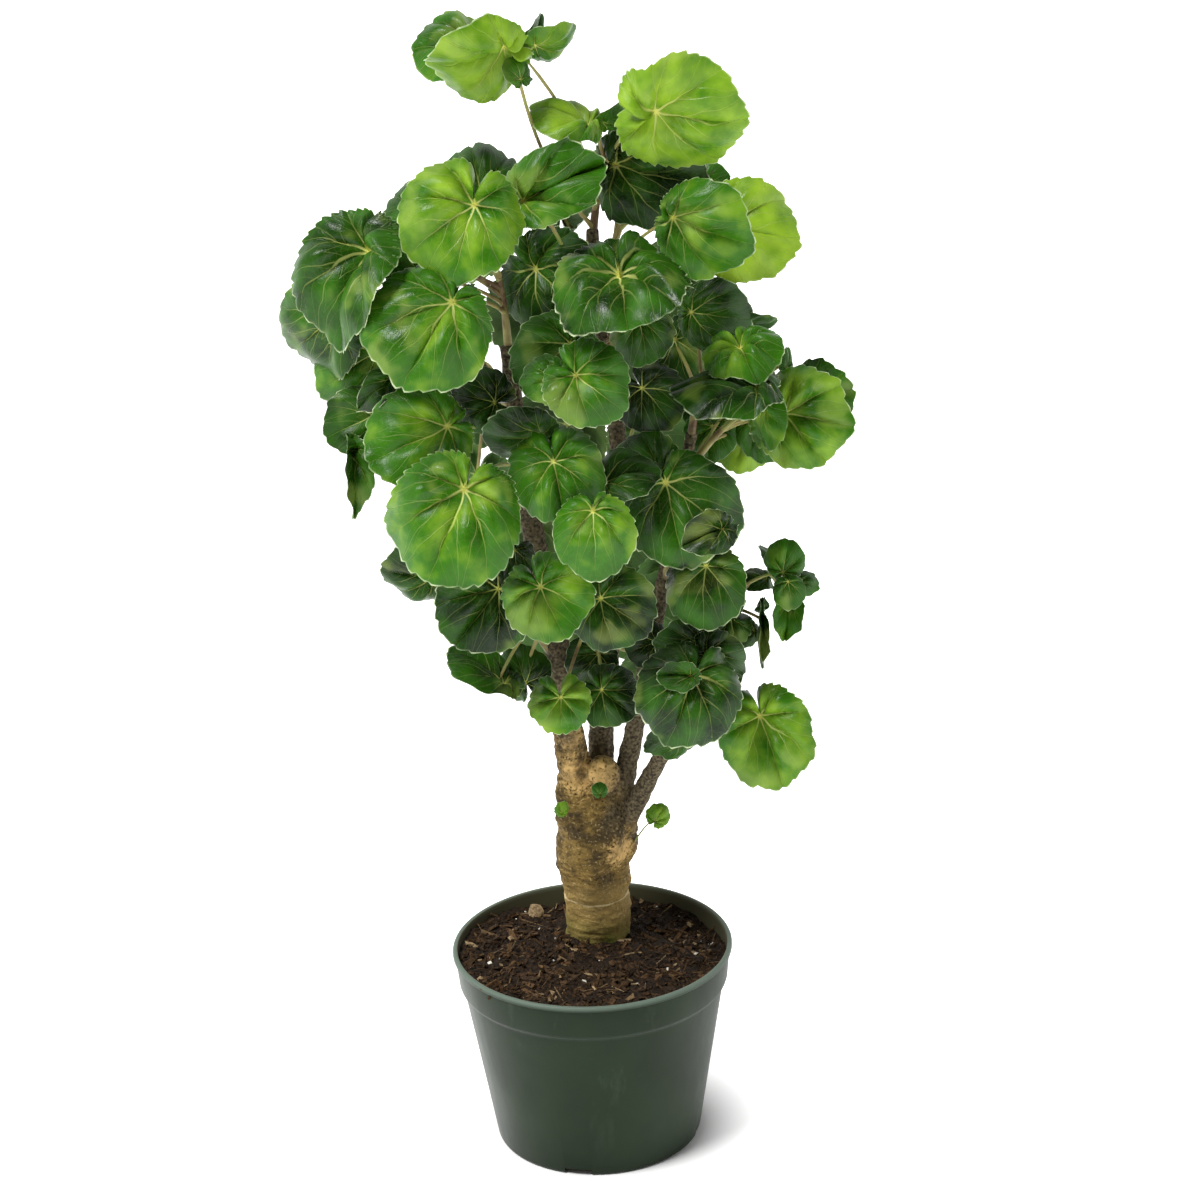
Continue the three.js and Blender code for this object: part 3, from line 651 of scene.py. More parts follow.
# %% Leaf stalks
STALK_RADIUS, STALKLET_RADIUS = 1.4, 1.1
STALK_STEPS, STALK_SIDES = 12, 8
STALK_FINISH = 1  # its place in a shoot's list of finishes
ARCH = 0.14  # how far a stalk's middle rises, as a share of its length
TUCK = 0.1  # how far it keeps behind its blade, likewise
LANDING = 4  # mm ahead of the hub


def landing(spec):
    """Where a stalk meets its blade: a little ahead of the hub, inside the blade."""
    hub, along, face_way, _ = blade_axes(spec)
    half = spec["width"] / 2
    ahead_point = hub + (along + face_way * spec["cup"]) * half * (1 + spec["seat"])
    return hub.lerp(ahead_point, min(0.3, LANDING / (ahead_point - hub).length))


def stalk_radius(radius):
    def reach(share, angle):
        at_stem = math.exp(-((share / 0.05) ** 2)) * 0.7
        at_blade = math.exp(-(((1 - share) / 0.07) ** 2)) * 0.2
        narrow = 1 - 0.2 * share - 0.45 * max(0, share - 0.93) / 0.07
        return radius * (narrow + (at_stem + at_blade))
    return reach


def add_stalk(bm, start, end, middle, radius, tone):
    points = [bow(start, middle, end, k / STALK_STEPS) for k in range(STALK_STEPS + 1)]
    tube(bm, points, stalk_radius(radius), STALK_SIDES, tone, finish=STALK_FINISH)


def add_leaf(bm, start, spec, radius, brown):
    face_way = blade_axes(spec)[2]
    end = landing(spec)
    length = (end - start).length
    middle = start.lerp(end, 0.5) + Vector((0, 0, ARCH * length)) - face_way * TUCK * length
    if spec["bend"]:
        middle = from_photo(spec["bend"])
    add_stalk(bm, start, end, middle, radius, brown)
    add_blade(bm, spec)


def add_fork(bm, start, spec, brown):
    end = from_photo(spec["fork"])
    middle = start.lerp(end, 0.5) + Vector((0, 0, ARCH * (end - start).length))
    if spec["bend"]:
        middle = from_photo(spec["bend"])
    add_stalk(bm, start, end, middle, STALK_RADIUS, brown)
    for blade in spec["blades"]:
        add_leaf(bm, end, blade, STALKLET_RADIUS, brown)


print("a stalk's thinnest radius:", round(stalk_radius(STALK_RADIUS)(0.95, 0), 2), "mm")

# %% [markdown]
# The branches
#
# Four woody limbs rise from the trunk. They come before the leaves, because each leafy shoot
# leaves one of them at a share of its length.

# %% Branch readings
# First and last radius in mm, then pixels and depths from the trunk outwards
branches = {
    "left": ((15, 6), [
        (590, 805, 27), (571, 748, 17), (564, 690, 8), (556, 640, 2), (538, 560, 0),
        (524, 470, 2), (514, 400, 6), (508, 345, 8),
    ]),
    "centre": ((12, 5), [
        (604, 812, 34), (601, 738, 38), (606, 680, 36), (612, 600, 32), (617, 500, 26),
        (617, 430, 22), (606, 350, 20), (596, 290, 20), (592, 228, 20),
    ]),
    "right": ((10, 4.5), [
        (616, 822, 28), (631, 745, 22), (642, 690, 16), (656, 620, 10), (672, 540, 6),
        (684, 475, 3), (692, 432, 0),
    ]),
    "low_right": ((10, 3.8), [
        (620, 832, 24), (646, 784, 8), (664, 750, -4), (685, 706, -10), (702, 660, -12),
        (712, 622, -12),
    ]),
}
limbs = {name: Path([from_photo(p) for p in points]) for name, (_, points) in branches.items()}
print({name: round(path.lengths[-1]) for name, path in limbs.items()}, "mm")

# %% [markdown]
# The leaves, as read from the photograph
#
# Each shoot names its branch, the share of the branch's length where it starts, and the pixels
# that its stem passes. Its leaves follow, each with its share of the stem's length, hub, width,
# tip direction and tone. A tone is partly the leaf's own colour and partly painted light: low for
# painted shade on leaves deep in the crown and at the back, high for a painted glow on the
# back-lit leaves at the top.

# %% Shoots
shoots = {
    "crown_top": shoot("centre", 0.985, [(597, 200, 24), (604, 172, 22), (607, 158, 18)], [
        fork(0.3, (528, 62, 2), [
            leaf(None, (475, 52, 26), 63, 180, 0.6, turn=34),
            leaf(None, (503, 45, -12), 70, 195, 0.78, turn=-57, fold=10, seat=0.5),
            leaf(None, (523, 46, 8), 30, 64, 0.5, turn=62, fold=20, seat=0.6),
            leaf(None, (534, 44, -4), 38, 18, 0.6, turn=64, seat=0.55),
        ], bend=(597, 146, 12)),
        leaf(0.12, (520, 80, -22), 22, 110, 0.5, turn=30, seat=0.5, bend=(539, 172, 0)),
        fork(0.9, (594, 128, 2), [
            leaf(None, (588, 127, -4), 50, 166, 0.8, turn=55, seat=0.6),
            leaf(None, (602, 122, 2), 28, 35, 0.7, turn=66, seat=0.6),
        ]),
        leaf(0.97, (655, 110, -30), 88, 357, 0.82, turn=40, seat=0.36),
        leaf(0.8, (615, 165, 28), 84, 347, 0.2, turn=12, fold=24, seat=0.6),
    ]),
    "crown_right": shoot("centre", 0.9, [(612, 250, 34), (621, 224, 40), (624, 210, 44)], [
        leaf(0.12, (673, 217, -30), 68, 342, 0.57, turn=30, seat=0.68),
        leaf(0.92, (724, 230, 24), 75, 352, 0.93, turn=-8, seat=0.42),
        leaf(0.78, (704, 182, 48), 27, 4, 0.5),
        leaf(0.98, (671, 143, 46), 28, 164, 0.3),
        leaf(0.6, (629, 142, 58), 28, 92, 0.4),
        leaf(0.5, (625, 192, 70), 22, 282, 0.4),
    ]),
    "crown_left": shoot("centre", 0.84, [(578, 274, 12), (562, 246, 6)], [
        leaf(0.95, (524, 201, -30), 72, 24, 0.5, fold=40, seat=0.6),
        leaf(0.5, (534, 268, 14), 74, 322, 0.25, lean=4, turn=16, seat=0.4),
        leaf(0.8, (481, 199, 24), 62, 100, 0.3, lean=-20),
    ]),
    "left_top": shoot("left", 0.985, [(504, 306, 4), (498, 272, 0)], [
        leaf(0.95, (473, 205, -60), 82, 256, 0.72, seat=0.3, aside=-0.15,
             drops=[(12, 0.42, 1.1), (280, 1.0, 0.6), (150, 0.85, 0.4)]),
        leaf(0.9, (447, 223, -12), 69, 152, 0.4, lean=-20),
        leaf(0.8, (370, 252, -40), 96, 252, 0.37, turn=36, fold=26, seat=0.42, drops=[]),
        leaf(0.7, (389, 250, -20), 28, 84, 0.5),
        leaf(0.5, (452, 302, -78), 85, 240, 0.54, seat=0.56, aside=-0.12,
             drops=[(0, 0.35, 0.7), (215, 1.15, 0.5), (110, 0.3, 0.5)]),
        leaf(0.6, (430, 284, -36), 50, 130, 0.4),
    ]),
    "left_side": shoot("left", 0.86, [(470, 350, 16), (430, 322, 22)], [
        leaf(0.98, (338, 316, -8), 74, 212, 0.32, lean=-44, seat=0.5, drops=[]),
        leaf(0.85, (377, 352, 10), 69, 214, 0.6, seat=0.4),
        leaf(0.72, (397, 377, -32), 46, 220, 0.2, fold=58, seat=0.5),
        leaf(0.6, (374, 414, -16), 48, 206, 0.3, turn=-10, seat=0.5),
        leaf(0.45, (348, 450, -34), 58, 275, 0.35, turn=-20, fold=67, seat=0.6),
    ]),
    "left_middle": shoot("left", 0.62, [(508, 446, -12), (496, 428, -24)], [
        leaf(0.9, (448, 427, -58), 73, 205, 0.62, seat=0.58,
             drops=[(20, 0.2, 0.7), (240, 1.1, -0.6)]),
        leaf(0.6, (466, 489, -104), 91, 248, 0.6, seat=0.48,
             drops=[(200, 0.9, 0.9), (20, 0.3, 0.6), (290, 1.0, 0.5)]),
        leaf(0.97, (494, 402, -28), 46, 168, 0.2),
        leaf(0.4, (541, 433, -44), 52, 182, 0.25, turn=-46, seat=0.5),
    ]),
    "left_low": shoot("left", 0.34, [(524, 618, -14), (508, 606, -24)], [
        leaf(0.75, (434, 574, -34), 54, 172, 0.25, turn=-38),
        leaf(0.95, (498, 590, -60), 68, 232, 0.15, seat=0.42),
        leaf(0.85, (514, 550, -36), 38, 236, 0.2),
        leaf(0.6, (503, 685, -40), 60, 148, 0.35, turn=66, seat=0.5),
        leaf(0.45, (526, 682, -10), 40, 110, 0.25),
    ]),
    "front_top": shoot("centre", 0.72, [(612, 350, -2), (610, 332, -14)], [
        leaf(0.95, (620, 279, -58), 92, 278, 0.33, lean=36, cup=0.22, seat=0.28,
             drops=[(45, 0.35, 0.9), (270, 0.9, -0.3)]),
        leaf(0.85, (613, 265, -12), 26, 86, 0.4),
        leaf(0.7, (641, 320, -34), 44, 276, 0.3, seat=0.4),
        leaf(0.9, (577, 376, -70), 60, 322, 0.5, cup=0.3, seat=0.3),
        leaf(0.5, (570, 346, -30), 62, 216, 0.45, seat=0.4),
        leaf(0.8, (555, 378, -62), 34, 194, 0.6),
    ]),
    "front_middle": shoot("centre", 0.5, [(604, 500, -12), (598, 486, -30)], [
        leaf(0.9, (554, 461, -68), 66, 280, 0.54, lean=10, seat=0.28,
             drops=[(70, 0.4, 0.8), (250, 0.8, 0.6)]),
        leaf(0.95, (593, 511, -104), 57, 272, 0.68, lean=8, seat=0.55,
             drops=[(285, 0.6, 0.8), (170, 0.5, 0.4)]),
        leaf(0.7, (606, 484, -60), 50, 12, 0.25, turn=-40, seat=0.5),
        leaf(0.3, (642, 388, 2), 50, 310, 0.1),
    ]),
    "front_low": shoot("centre", 0.3, [(590, 622, 0), (580, 608, -26)], [
        leaf(0.97, (539, 586, -84), 62, 296, 0.62, seat=0.3, aside=0.08,
             drops=[(80, 0.45, 0.9), (215, 0.55, 0.6)]),
        leaf(0.9, (600, 598, -64), 61, 324, 0.25, seat=0.36),
        leaf(0.6, (560, 699, -52), 43, 274, 0.7, seat=0.12),
        leaf(0.5, (601, 690, -36), 46, 322, 0.25, seat=0.3),
        leaf(0.35, (598, 654, -10), 38, 226, 0.15),
    ]),
    "right_top": shoot("right", 0.985, [(696, 404, -6), (702, 376, -10)], [
        leaf(0.95, (690, 311, -4), 51, 350, 0.3, turn=14, seat=0.7),
        leaf(0.85, (740, 321, 16), 32, 8, 0.3, turn=74, seat=0.6),
        leaf(0.9, (740, 349, -34), 56, 295, 0.6, lean=46, seat=0.2),
        leaf(0.4, (756, 391, -52), 76, 186, 0.25, turn=60, seat=0.5),
        leaf(0.7, (674, 340, 36), 52, 288, 0.2),
    ]),
    "right_far": shoot("right", 0.9, [(712, 440, 4), (728, 424, 2)], [
        leaf(0.95, (784, 415, -12), 71, 350, 0.68, seat=0.34),
        leaf(0.9, (765, 404, -36), 42, 290, 0.6, turn=62, seat=0.5),
        leaf(0.85, (802, 402, 30), 54, 14, 0.5),
        leaf(0.78, (758, 415, 18), 46, 298, 0.6, turn=24, seat=0.55),
        leaf(0.6, (748, 430, 42), 42, 250, 0.75, seat=0.5),
        leaf(0.4, (722, 419, 22), 22, 62, 0.5),
        leaf(0.98, (786, 368, 10), 18, 94, 0.5, turn=60, seat=0.6),
        leaf(0.25, (712, 426, 30), 38, 262, 0.5),
    ]),
    "right_middle": shoot("right", 0.62, [(680, 520, -10), (684, 504, -22)], [
        leaf(0.9, (666, 482, -46), 80, 283, 0.3, turn=10, seat=0.52, aside=0.18,
             drops=[(330, 0.7, 0.8), (250, 1.1, 0.7), (110, 0.4, 0.6)]),
        leaf(0.8, (721, 529, -74), 40, 204, 0.15, lean=10, fold=38, seat=0.5),
        leaf(0.6, (706, 566, -44), 61, 268, 0.27, turn=12, seat=0.46),
        leaf(0.7, (660, 474, -20), 50, 152, 0.35, seat=0.4),
    ]),
    "low_right": shoot("low_right", 0.74, [(702, 678, -26), (704, 664, -36)], [
        leaf(0.5, (694, 676, -66), 74, 250, 0.25, lean=10, seat=0.36,
             drops=[(150, 0.4, 0.8), (250, 0.9, 0.5), (20, 0.5, 0.5)]),
        leaf(0.9, (690, 676, -76), 30, 180, 0.3, fold=44, seat=0.5),
        leaf(0.95, (706, 655, -48), 47, 314, 0.2, seat=0.34),
        leaf(0.8, (698, 642, -32), 42, 184, 0.2, turn=-30, seat=0.5),
    ]),
    "low_front": shoot("low_right", 0.5, [(680, 722, -16), (674, 712, -24)], [
        leaf(0.6, (684, 730, -40), 46, 200, 0.2, turn=-46),
        leaf(0.9, (656, 642, -22), 34, 200, 0.15),
    ]),
    "low_side": shoot("low_right", 0.6, [(706, 712, -12), (722, 706, -14)], [
        leaf(0.95, (761, 717, -32), 75, 287, 0.66, fold=24, seat=0.36),
    ]),
    "right_side": shoot("low_right", 0.97, [(722, 604, 0), (734, 594, 4)], [
        leaf(0.6, (762, 614, -6), 50, 272, 0.15, fold=79, seat=0.5),
        fork(0.98, (770, 574, 4), [
            leaf(None, (783, 572, -6), 29, 80, 0.5, seat=0.6),
            leaf(None, (788, 582, -14), 24, 278, 0.45, seat=0.6),
            leaf(None, (799, 582, 4), 18, 350, 0.5, seat=0.6),
            leaf(None, (777, 572, 12), 28, 122, 0.3, turn=66, seat=0.6),
            leaf(None, (789, 600, 10), 36, 264, 0.5, fold=50, seat=0.6),
        ]),
        leaf(0.85, (766, 580, 20), 24, 186, 0.25, turn=50, seat=0.6),
        leaf(0.4, (754, 631, 10), 20, 192, 0.25, turn=20, seat=0.6),
        leaf(0.2, (730, 617, -22), 48, 196, 0.2, turn=-20),
    ]),
    "back_top": shoot("centre", 0.86, [(594, 300, 50), (590, 284, 74)], [
        behind(0.8, (476, 236, 62), 74, 158, 0.23),
        behind(0.9, (560, 214, 76), 58, 96, 0.19),
        behind(0.85, (648, 276, 78), 66, 330, 0.29),
        behind(0.97, (548, 298, 118), 78, 232, 0.2),
        behind(0.95, (612, 326, 124), 74, 296, 0.17),
    ]),
    "back_left": shoot("left", 0.8, [(492, 372, 46), (478, 360, 72)], [
        behind(0.8, (436, 330, 64), 78, 176, 0.29),
        behind(0.6, (424, 436, 46), 64, 206, 0.47),
        behind(0.95, (468, 396, 112), 76, 232, 0.43),
        behind(0.7, (478, 476, 74), 72, 254, 0.42),
    ]),
    "back_middle": shoot("centre", 0.5, [(602, 500, 66), (592, 486, 92)], [
        behind(0.9, (568, 424, 132), 78, 220, 0.23),
        behind(0.95, (642, 432, 136), 74, 334, 0.34),
        behind(0.97, (600, 526, 144), 78, 268, 0.25),
        behind(0.7, (530, 524, 98), 68, 226, 0.21),
    ]),
    "back_right": shoot("right", 0.7, [(696, 500, 44), (700, 488, 66)], [
        behind(0.9, (696, 396, 74), 64, 50, 0.19),
        behind(0.95, (680, 486, 104), 68, 300, 0.23),
        behind(0.6, (676, 568, 76), 64, 286, 0.47),
    ]),
    "back_low": shoot("centre", 0.26, [(592, 640, 72), (580, 630, 94)], [
        behind(0.7, (500, 604, 70), 60, 202, 0.44),
        behind(0.95, (556, 600, 132), 72, 250, 0.43),
        behind(0.9, (626, 606, 130), 70, 302, 0.43),
        behind(0.6, (652, 662, 80), 62, 318, 0.22),
    ]),
}
print("blades:", sum(len(k.get("blades", [0])) for s in shoots.values() for k in s["leaves"]))

# %% [markdown]
# The stem tapers from its branch to its tip. With the stem and each leaf added to one mesh, a
# shoot becomes one piece that stands for one solid. The stalks' browness is drawn by chance from
# a fixed seed, so that every run gives the same plant.

# %% Leafy shoots
STEM_RADIUS, STEM_TAPER = 3.2, 0.4
STEM_STEPS, STEM_SIDES = 16, 10
STEM_BROWN = 0.8
chance = random.Random(11)
total = 0
for name, plan in shoots.items():
    bm = new_mesh()
    root = limbs[plan["branch"]].at(plan["share"])
    stem = Path([root] + [from_photo(p) for p in plan["through"]])
    tube(bm, stem.evenly(STEM_STEPS), lambda share, angle: STEM_RADIUS * (1 - STEM_TAPER * share),
         STEM_SIDES, STEM_BROWN, finish=STALK_FINISH)
    for spec in plan["leaves"]:
        brown = chance.uniform(0.15, 0.75)
        if "fork" in spec:
            add_fork(bm, stem.at(spec["start"]), spec, brown)
        else:
            add_leaf(bm, stem.at(spec["start"]), spec, STALK_RADIUS, brown)
    finishes = [blade_finish, stalk_finish]
    total += finish_piece(f"leaves_{name}", bm, finishes, f"shoot_{name}")
print("triangles in all shoots:", total)

# %% [markdown]
# Three very small new leaves sprout from the trunk itself, light green and hardly toothed yet.

# %% Sprouts on the trunk
SPROUT_RADIUS, SPROUT_BROWN = 0.6, 0.1
sprouts = {
    "left": ((572, 800, 16), leaf(0, (561, 813, -4), 11.5, 70, 0.7, turn=30, seat=0.5)),
    "middle": ((602, 796, 12), leaf(0, (600, 794, -14), 11.5, 96, 0.55, seat=0.5)),
    "right": ((632, 846, 22), leaf(0, (655, 821, 2), 18, 58, 0.85, seat=0.5)),
}
for name, (root, spec) in sprouts.items():
    bm = new_mesh()
    add_leaf(bm, from_photo(root), spec, SPROUT_RADIUS, SPROUT_BROWN)
    finish_piece(f"sprout_leaf_{name}", bm, [blade_finish, stalk_finish], f"sprout_{name}")

# %% [markdown]
# The woody trunk
#
# A Balfour aralia is grown from a thick cutting, so its trunk is short, knobbly and scarred, with
# thin bark that flakes a little. The trunk and its branches are tubes that pass into each other;
# a voxel remesh melts them into one skin and smoothing rounds the crotches. A short thick tube
# fills the shoulder under the left branch, and a ball makes the knob of the healed cut.
# Sculpting by hand would be the studio way.

# %% Trunk shape
TRUNK_FOOT = 104  # mm above the floor, hidden in the soil
TRUNK_STEPS, LIMB_STEPS, SHOULDER_STEPS = 40, 60, 12
TRUNK_RADII = (24, 24.3, 24.6, 24.6, 24.6, 25.2, 26.6, 29, 30.4, 28.5, 24, 19.5, 14)
TRUNK_ROOM, LIMB_ROOM = 0.6, 0.3  # mm left for the bark's relief
TRUNK_SEEN = [
    (598, 924, 36), (596, 888, 35), (593, 855, 32), (597, 825, 30), (594, 796, 29), (589, 768, 27),
]
trunk_points = [from_photo(p) for p in TRUNK_SEEN]
foot = Vector((trunk_points[0].x, trunk_points[0].y, TRUNK_FOOT))
trunk_path = Path([foot] + trunk_points)


def trunk_reach(share, angle):
    at = share * (len(TRUNK_RADII) - 1)
    low = min(int(at), len(TRUNK_RADII) - 2)
    round_reach = TRUNK_RADII[low] + (TRUNK_RADII[low + 1] - TRUNK_RADII[low]) * (at - low)
    rise = max(0, min(1, (share - 0.3) / 0.2))
    rise = rise * rise * (3 - 2 * rise)
    ridges = 0.05 * math.sin(3 * angle + 4 * share) + 0.03 * math.sin(5 * angle - 9 * share)
    return round_reach * (1 + rise * ridges) - TRUNK_ROOM


TRUNK_SIDES, LIMB_SIDES = 40, 20
SHOULDER_SEEN = [(588, 862, 26), (577, 826, 22), (573, 785, 18), (571, 748, 15)]
KNOB_SEEN = (604, 775, 7)
KNOB_RADIUS, KNOB_STRETCH = 10.6, (1.15, 1, 1.38)
NECK = 0.55  # below 1, so that a limb narrows soon after the fork
wood = new_mesh()
tube(wood, trunk_path.evenly(TRUNK_STEPS), trunk_reach, TRUNK_SIDES)
for name, path in limbs.items():
    first, last = branches[name][0]
    tube(wood, path.evenly(LIMB_STEPS),
         lambda share, angle: first + (last - first) * share**NECK - LIMB_ROOM, LIMB_SIDES)
shoulder = Path([from_photo(p) for p in SHOULDER_SEEN])
tube(wood, shoulder.evenly(SHOULDER_STEPS), lambda share, angle: 16 - 6 * share, LIMB_SIDES)
knob = from_photo(KNOB_SEEN)
ball = bmesh.ops.create_icosphere(wood, subdivisions=4, radius=KNOB_RADIUS)["verts"]
bmesh.ops.scale(wood, vec=KNOB_STRETCH, verts=ball)
bmesh.ops.translate(wood, vec=knob, verts=ball)
print("trunk corners before the remesh:", len(wood.verts))

# %% [markdown]
# The remesh is a modifier, so the draft becomes an object for a moment, and what the modifier
# makes of it is read back. Its cells are 1.3 mm, small enough for the flakes of the bark.

# %% Melt the wood
VOXEL = 1.3  # mm
SMOOTHINGS = 4


def read_back(bm, draft):
    """Fills the bmesh with what a draft's modifiers make of it, and removes the draft."""
    solid = draft.evaluated_get(bpy.context.evaluated_depsgraph_get())
    bm.clear()
    bm.from_mesh(solid.to_mesh())
    bpy.data.objects.remove(draft)


draft = object_of(wood, "draft")
melt = draft.modifiers.new("melt", "REMESH")
melt.mode, melt.voxel_size = "VOXEL", VOXEL
read_back(wood, draft)
for _ in range(SMOOTHINGS):
    bmesh.ops.smooth_vert(wood, verts=wood.verts, factor=0.5, use_axis_x=True, use_axis_y=True,
                          use_axis_z=True)
wood.normal_update()
print("corners after it:", len(wood.verts))

# %% [markdown]
# Old trunk and young branch have different bark, and the remesh has forgotten which is which. A
# tree of points from every limb's path answers that: each corner takes the mean age of the five
# points nearest to it. The knob's point is put in three times, so that its bark stays old.
# The second number marks the tan places: wood without bark at the healed cut and on the shoulder
# under the left branch, and down the right side a tan strip that is a painted highlight.

# %% Age of the bark
OLD_SHARE, OLD_SHARE_LEFT = 0.05, 0.17  # of a limb's length that still has old bark
TURN_YOUNG = 14  # how soon the bark turns young after that
NEIGHBOURS, KNOB_POINTS = 5, 3
TAN_SPOTS = [((603, 772, 4), 16), ((579, 774, 4), 18), ((622, 850, 8), 13), ((572, 740, 2), 12)]
samples = [(point, 0.0) for point in trunk_path.evenly(30)] + [(knob, 0.0)] * KNOB_POINTS
for name, path in limbs.items():
    start = OLD_SHARE_LEFT if name == "left" else OLD_SHARE
    for k, point in enumerate(path.evenly(LIMB_STEPS)):
        samples.append((point, min(1, max(0, (k / LIMB_STEPS - start) * TURN_YOUNG))))
limb_points = kdtree.KDTree(len(samples))
for i, (point, _) in enumerate(samples):
    limb_points.insert(point, i)
limb_points.balance()
tan_spots = [(from_photo(place), size) for place, size in TAN_SPOTS]

bark_layer = wood.verts.layers.float_vector.new("bark")
for vert in wood.verts:
    nearest = limb_points.find_n(vert.co, NEIGHBOURS)
    young = sum(samples[i][1] for _, i, _ in nearest) / NEIGHBOURS
    bare_wood_and_highlight = max(math.exp(-(((vert.co - spot).length / size) ** 2)) for spot, size in tan_spots)
    vert[bark_layer] = (young, bare_wood_and_highlight, 0)
print("young corners:", sum(vert[bark_layer].x > 0.5 for vert in wood.verts))

# %% [markdown]
# The relief is pushed in and out by noise: on the trunk slow lumps, wrinkles that run round it
# like those on a bent knee, and small warts; on the branches short flakes along the grain. A
# groove marks the ring where a leaf once clasped the stem.

# %% Bark relief
SCAR_SEEN = (598, 907, 10)
SCAR_HEIGHT = from_photo(SCAR_SEEN).z
SCAR_WIDTH = 1.2  # mm
THIN_FROM, THIN_OVER, THIN_LEAST = 330, 300, 0.35  # the relief fades up the branches, in mm


def bark_relief(spot, young):
    """How far the bark stands out, in millimetres."""
    lumps = 2.4 * noise.noise(spot / 15)
    wrinkles = 1.2 * noise.noise(Vector((spot.x / 12, spot.y / 12, spot.z / 3.4)))
    warts = 0.5 * noise.noise(spot / 2.7)
    flakes = 0.9 * noise.noise(Vector((spot.x / 3, spot.y / 3, spot.z / 11)))
    nodes = 0.8 * noise.noise(spot / 6)
    return (lumps + wrinkles + warts) * (1 - young) + (flakes + nodes + 0.5 * warts) * young


for vert in wood.verts:
    young = vert[bark_layer].x
    thin = min(1, max(THIN_LEAST, 1 - (vert.co.z - THIN_FROM) / THIN_OVER))
    sway = 3 * noise.noise(Vector((vert.co.x / 14, vert.co.y / 14, 5)))
    scar = math.exp(-(((vert.co.z + sway - SCAR_HEIGHT) / SCAR_WIDTH) ** 2)) * (1 - young)
    vert.co += vert.normal * ((bark_relief(vert.co, young) - scar) * thin)
print("scar ring at", round(SCAR_HEIGHT), "mm")

# %% [markdown]
# Young bark is dark grey-brown with a few pale flecks. On the old trunk it weathers to olive brown
# with dark stains and pores, wood without bark and a painted highlight down the right side show
# tan with fewer pores, the foot is paler and less stained, a pale line marks the leaf scar, and
# green algae grow near the damp soil. Heights come from the Object coordinates, in metres.

# %% Bark finish
PALE_BELOW, PALE_ABOVE = 0.186, 0.2  # m, between which the foot's paler bark fades out
STAIN_BELOW = 0.187  # m, under which the stains are half as strong
DAMP_BELOW, DAMP_ABOVE = 0.148, 0.17  # m, between which the algae fade out
RING_SWAY = 6  # mm, of which the noise adds about half
bark_finish, tree = new_finish("weathered_aralia_bark")
where = add(tree, "TexCoord").outputs["Object"]
height = add(tree, "SeparateXYZ", [where]).outputs["Z"]
bark_age = add(tree, "Attribute", attribute_name="bark").outputs["Vector"]
bark_age = add(tree, "SeparateXYZ", [bark_age])
wrinkle_place = add(tree, "Mapping", {"Vector": where, "Scale": (0.35, 0.35, 1)})
wrinkles = clouds(tree, wrinkle_place, 2.6, 5.0, 0.65)
stains = clouds(tree, where, 22, 5.0, 0.6)
warts = clouds(tree, where, 2.1, 3.0)
olive = remap(tree, wrinkles, 0.35, 0.65, 0.0, 1.0)
colour = mix(tree, olive, "#564522", "#8f753e")
# Tan where the wood is without bark, and down the right side as a painted highlight.
bare_wood_and_highlight = remap(tree, warts, 0.35, 0.65, -0.3, 0.3)
bare_wood_and_highlight = maths(tree, "ADD", bark_age.outputs["Y"], bare_wood_and_highlight)
bare_wood_and_highlight = remap(tree, bare_wood_and_highlight, 0.25, 0.72, 0.0, 0.9)
colour = mix(tree, bare_wood_and_highlight, colour, "#d0ab6c")
stain = remap(tree, stains, 0.45, 0.6, 0.0, 0.85)
above = remap(tree, height, STAIN_BELOW, PALE_ABOVE, 0.5, 1.0)
stain = maths(tree, "MULTIPLY", stain, above)
colour = mix(tree, stain, colour, "#352b1a")
flecks = remap(tree, warts, 0.6, 0.7, 0.0, 0.55)
colour = mix(tree, flecks, colour, "#b9a273")
pores = remap(tree, warts, 0.4, 0.33, 0.0, 0.85)
covered = remap(tree, bare_wood_and_highlight, 0.2, 0.8, 1.0, 0.3)
pores = maths(tree, "MULTIPLY", pores, covered)
colour = mix(tree, pores, colour, "#2b2215")
grey = remap(tree, warts, 0.35, 0.7, 0.0, 1.0)
grey = mix(tree, grey, "#2f281e", "#75694f")
colour = mix(tree, bark_age.outputs["X"], colour, grey)
print("nodes so far:", len(tree.nodes))

# %% Bark: scar ring, algae and relief
wave = clouds(tree, where, 16, 1.0)
wave = maths(tree, "MULTIPLY_ADD", wave, RING_SWAY * MM, height)
# The bark is paler towards the foot of the trunk.
paler_foot = remap(tree, wave, PALE_ABOVE, PALE_BELOW, 0.0, 0.42)
colour = mix(tree, paler_foot, colour, "#b89c5e")
ring = maths(tree, "SUBTRACT", wave, SCAR_HEIGHT * MM + RING_SWAY / 2 * MM)
ring = maths(tree, "ABSOLUTE", ring)
ring = remap(tree, ring, 1.1 * MM, 0.5 * MM, 0.0, 0.75)
colour = mix(tree, ring, colour, "#d2bf8f")
damp = remap(tree, wave, DAMP_ABOVE, DAMP_BELOW, 0.0, 0.95)
patchy = remap(tree, stains, 0.35, 0.6, 0.9, 0.2)
moss = maths(tree, "MULTIPLY", damp, patchy)
colour = mix(tree, moss, colour, "#56611f")
rises = maths(tree, "ADD", wrinkles, warts)
relief = add(tree, "Bump", {"Strength": 1.0, "Distance": 0.9 * MM, "Height": rises})
shader = add(tree, "BsdfPrincipled", {
    "Base Color": colour, "Normal": relief, "IOR": 1.4, "Specular IOR Level": 0.3,
    "Roughness": remap(tree, warts, 0.3, 0.7, 0.9, 0.7),
})
add(tree, "OutputMaterial", [shader])
finish_piece("woody_trunk", wood, [bark_finish], "trunk")

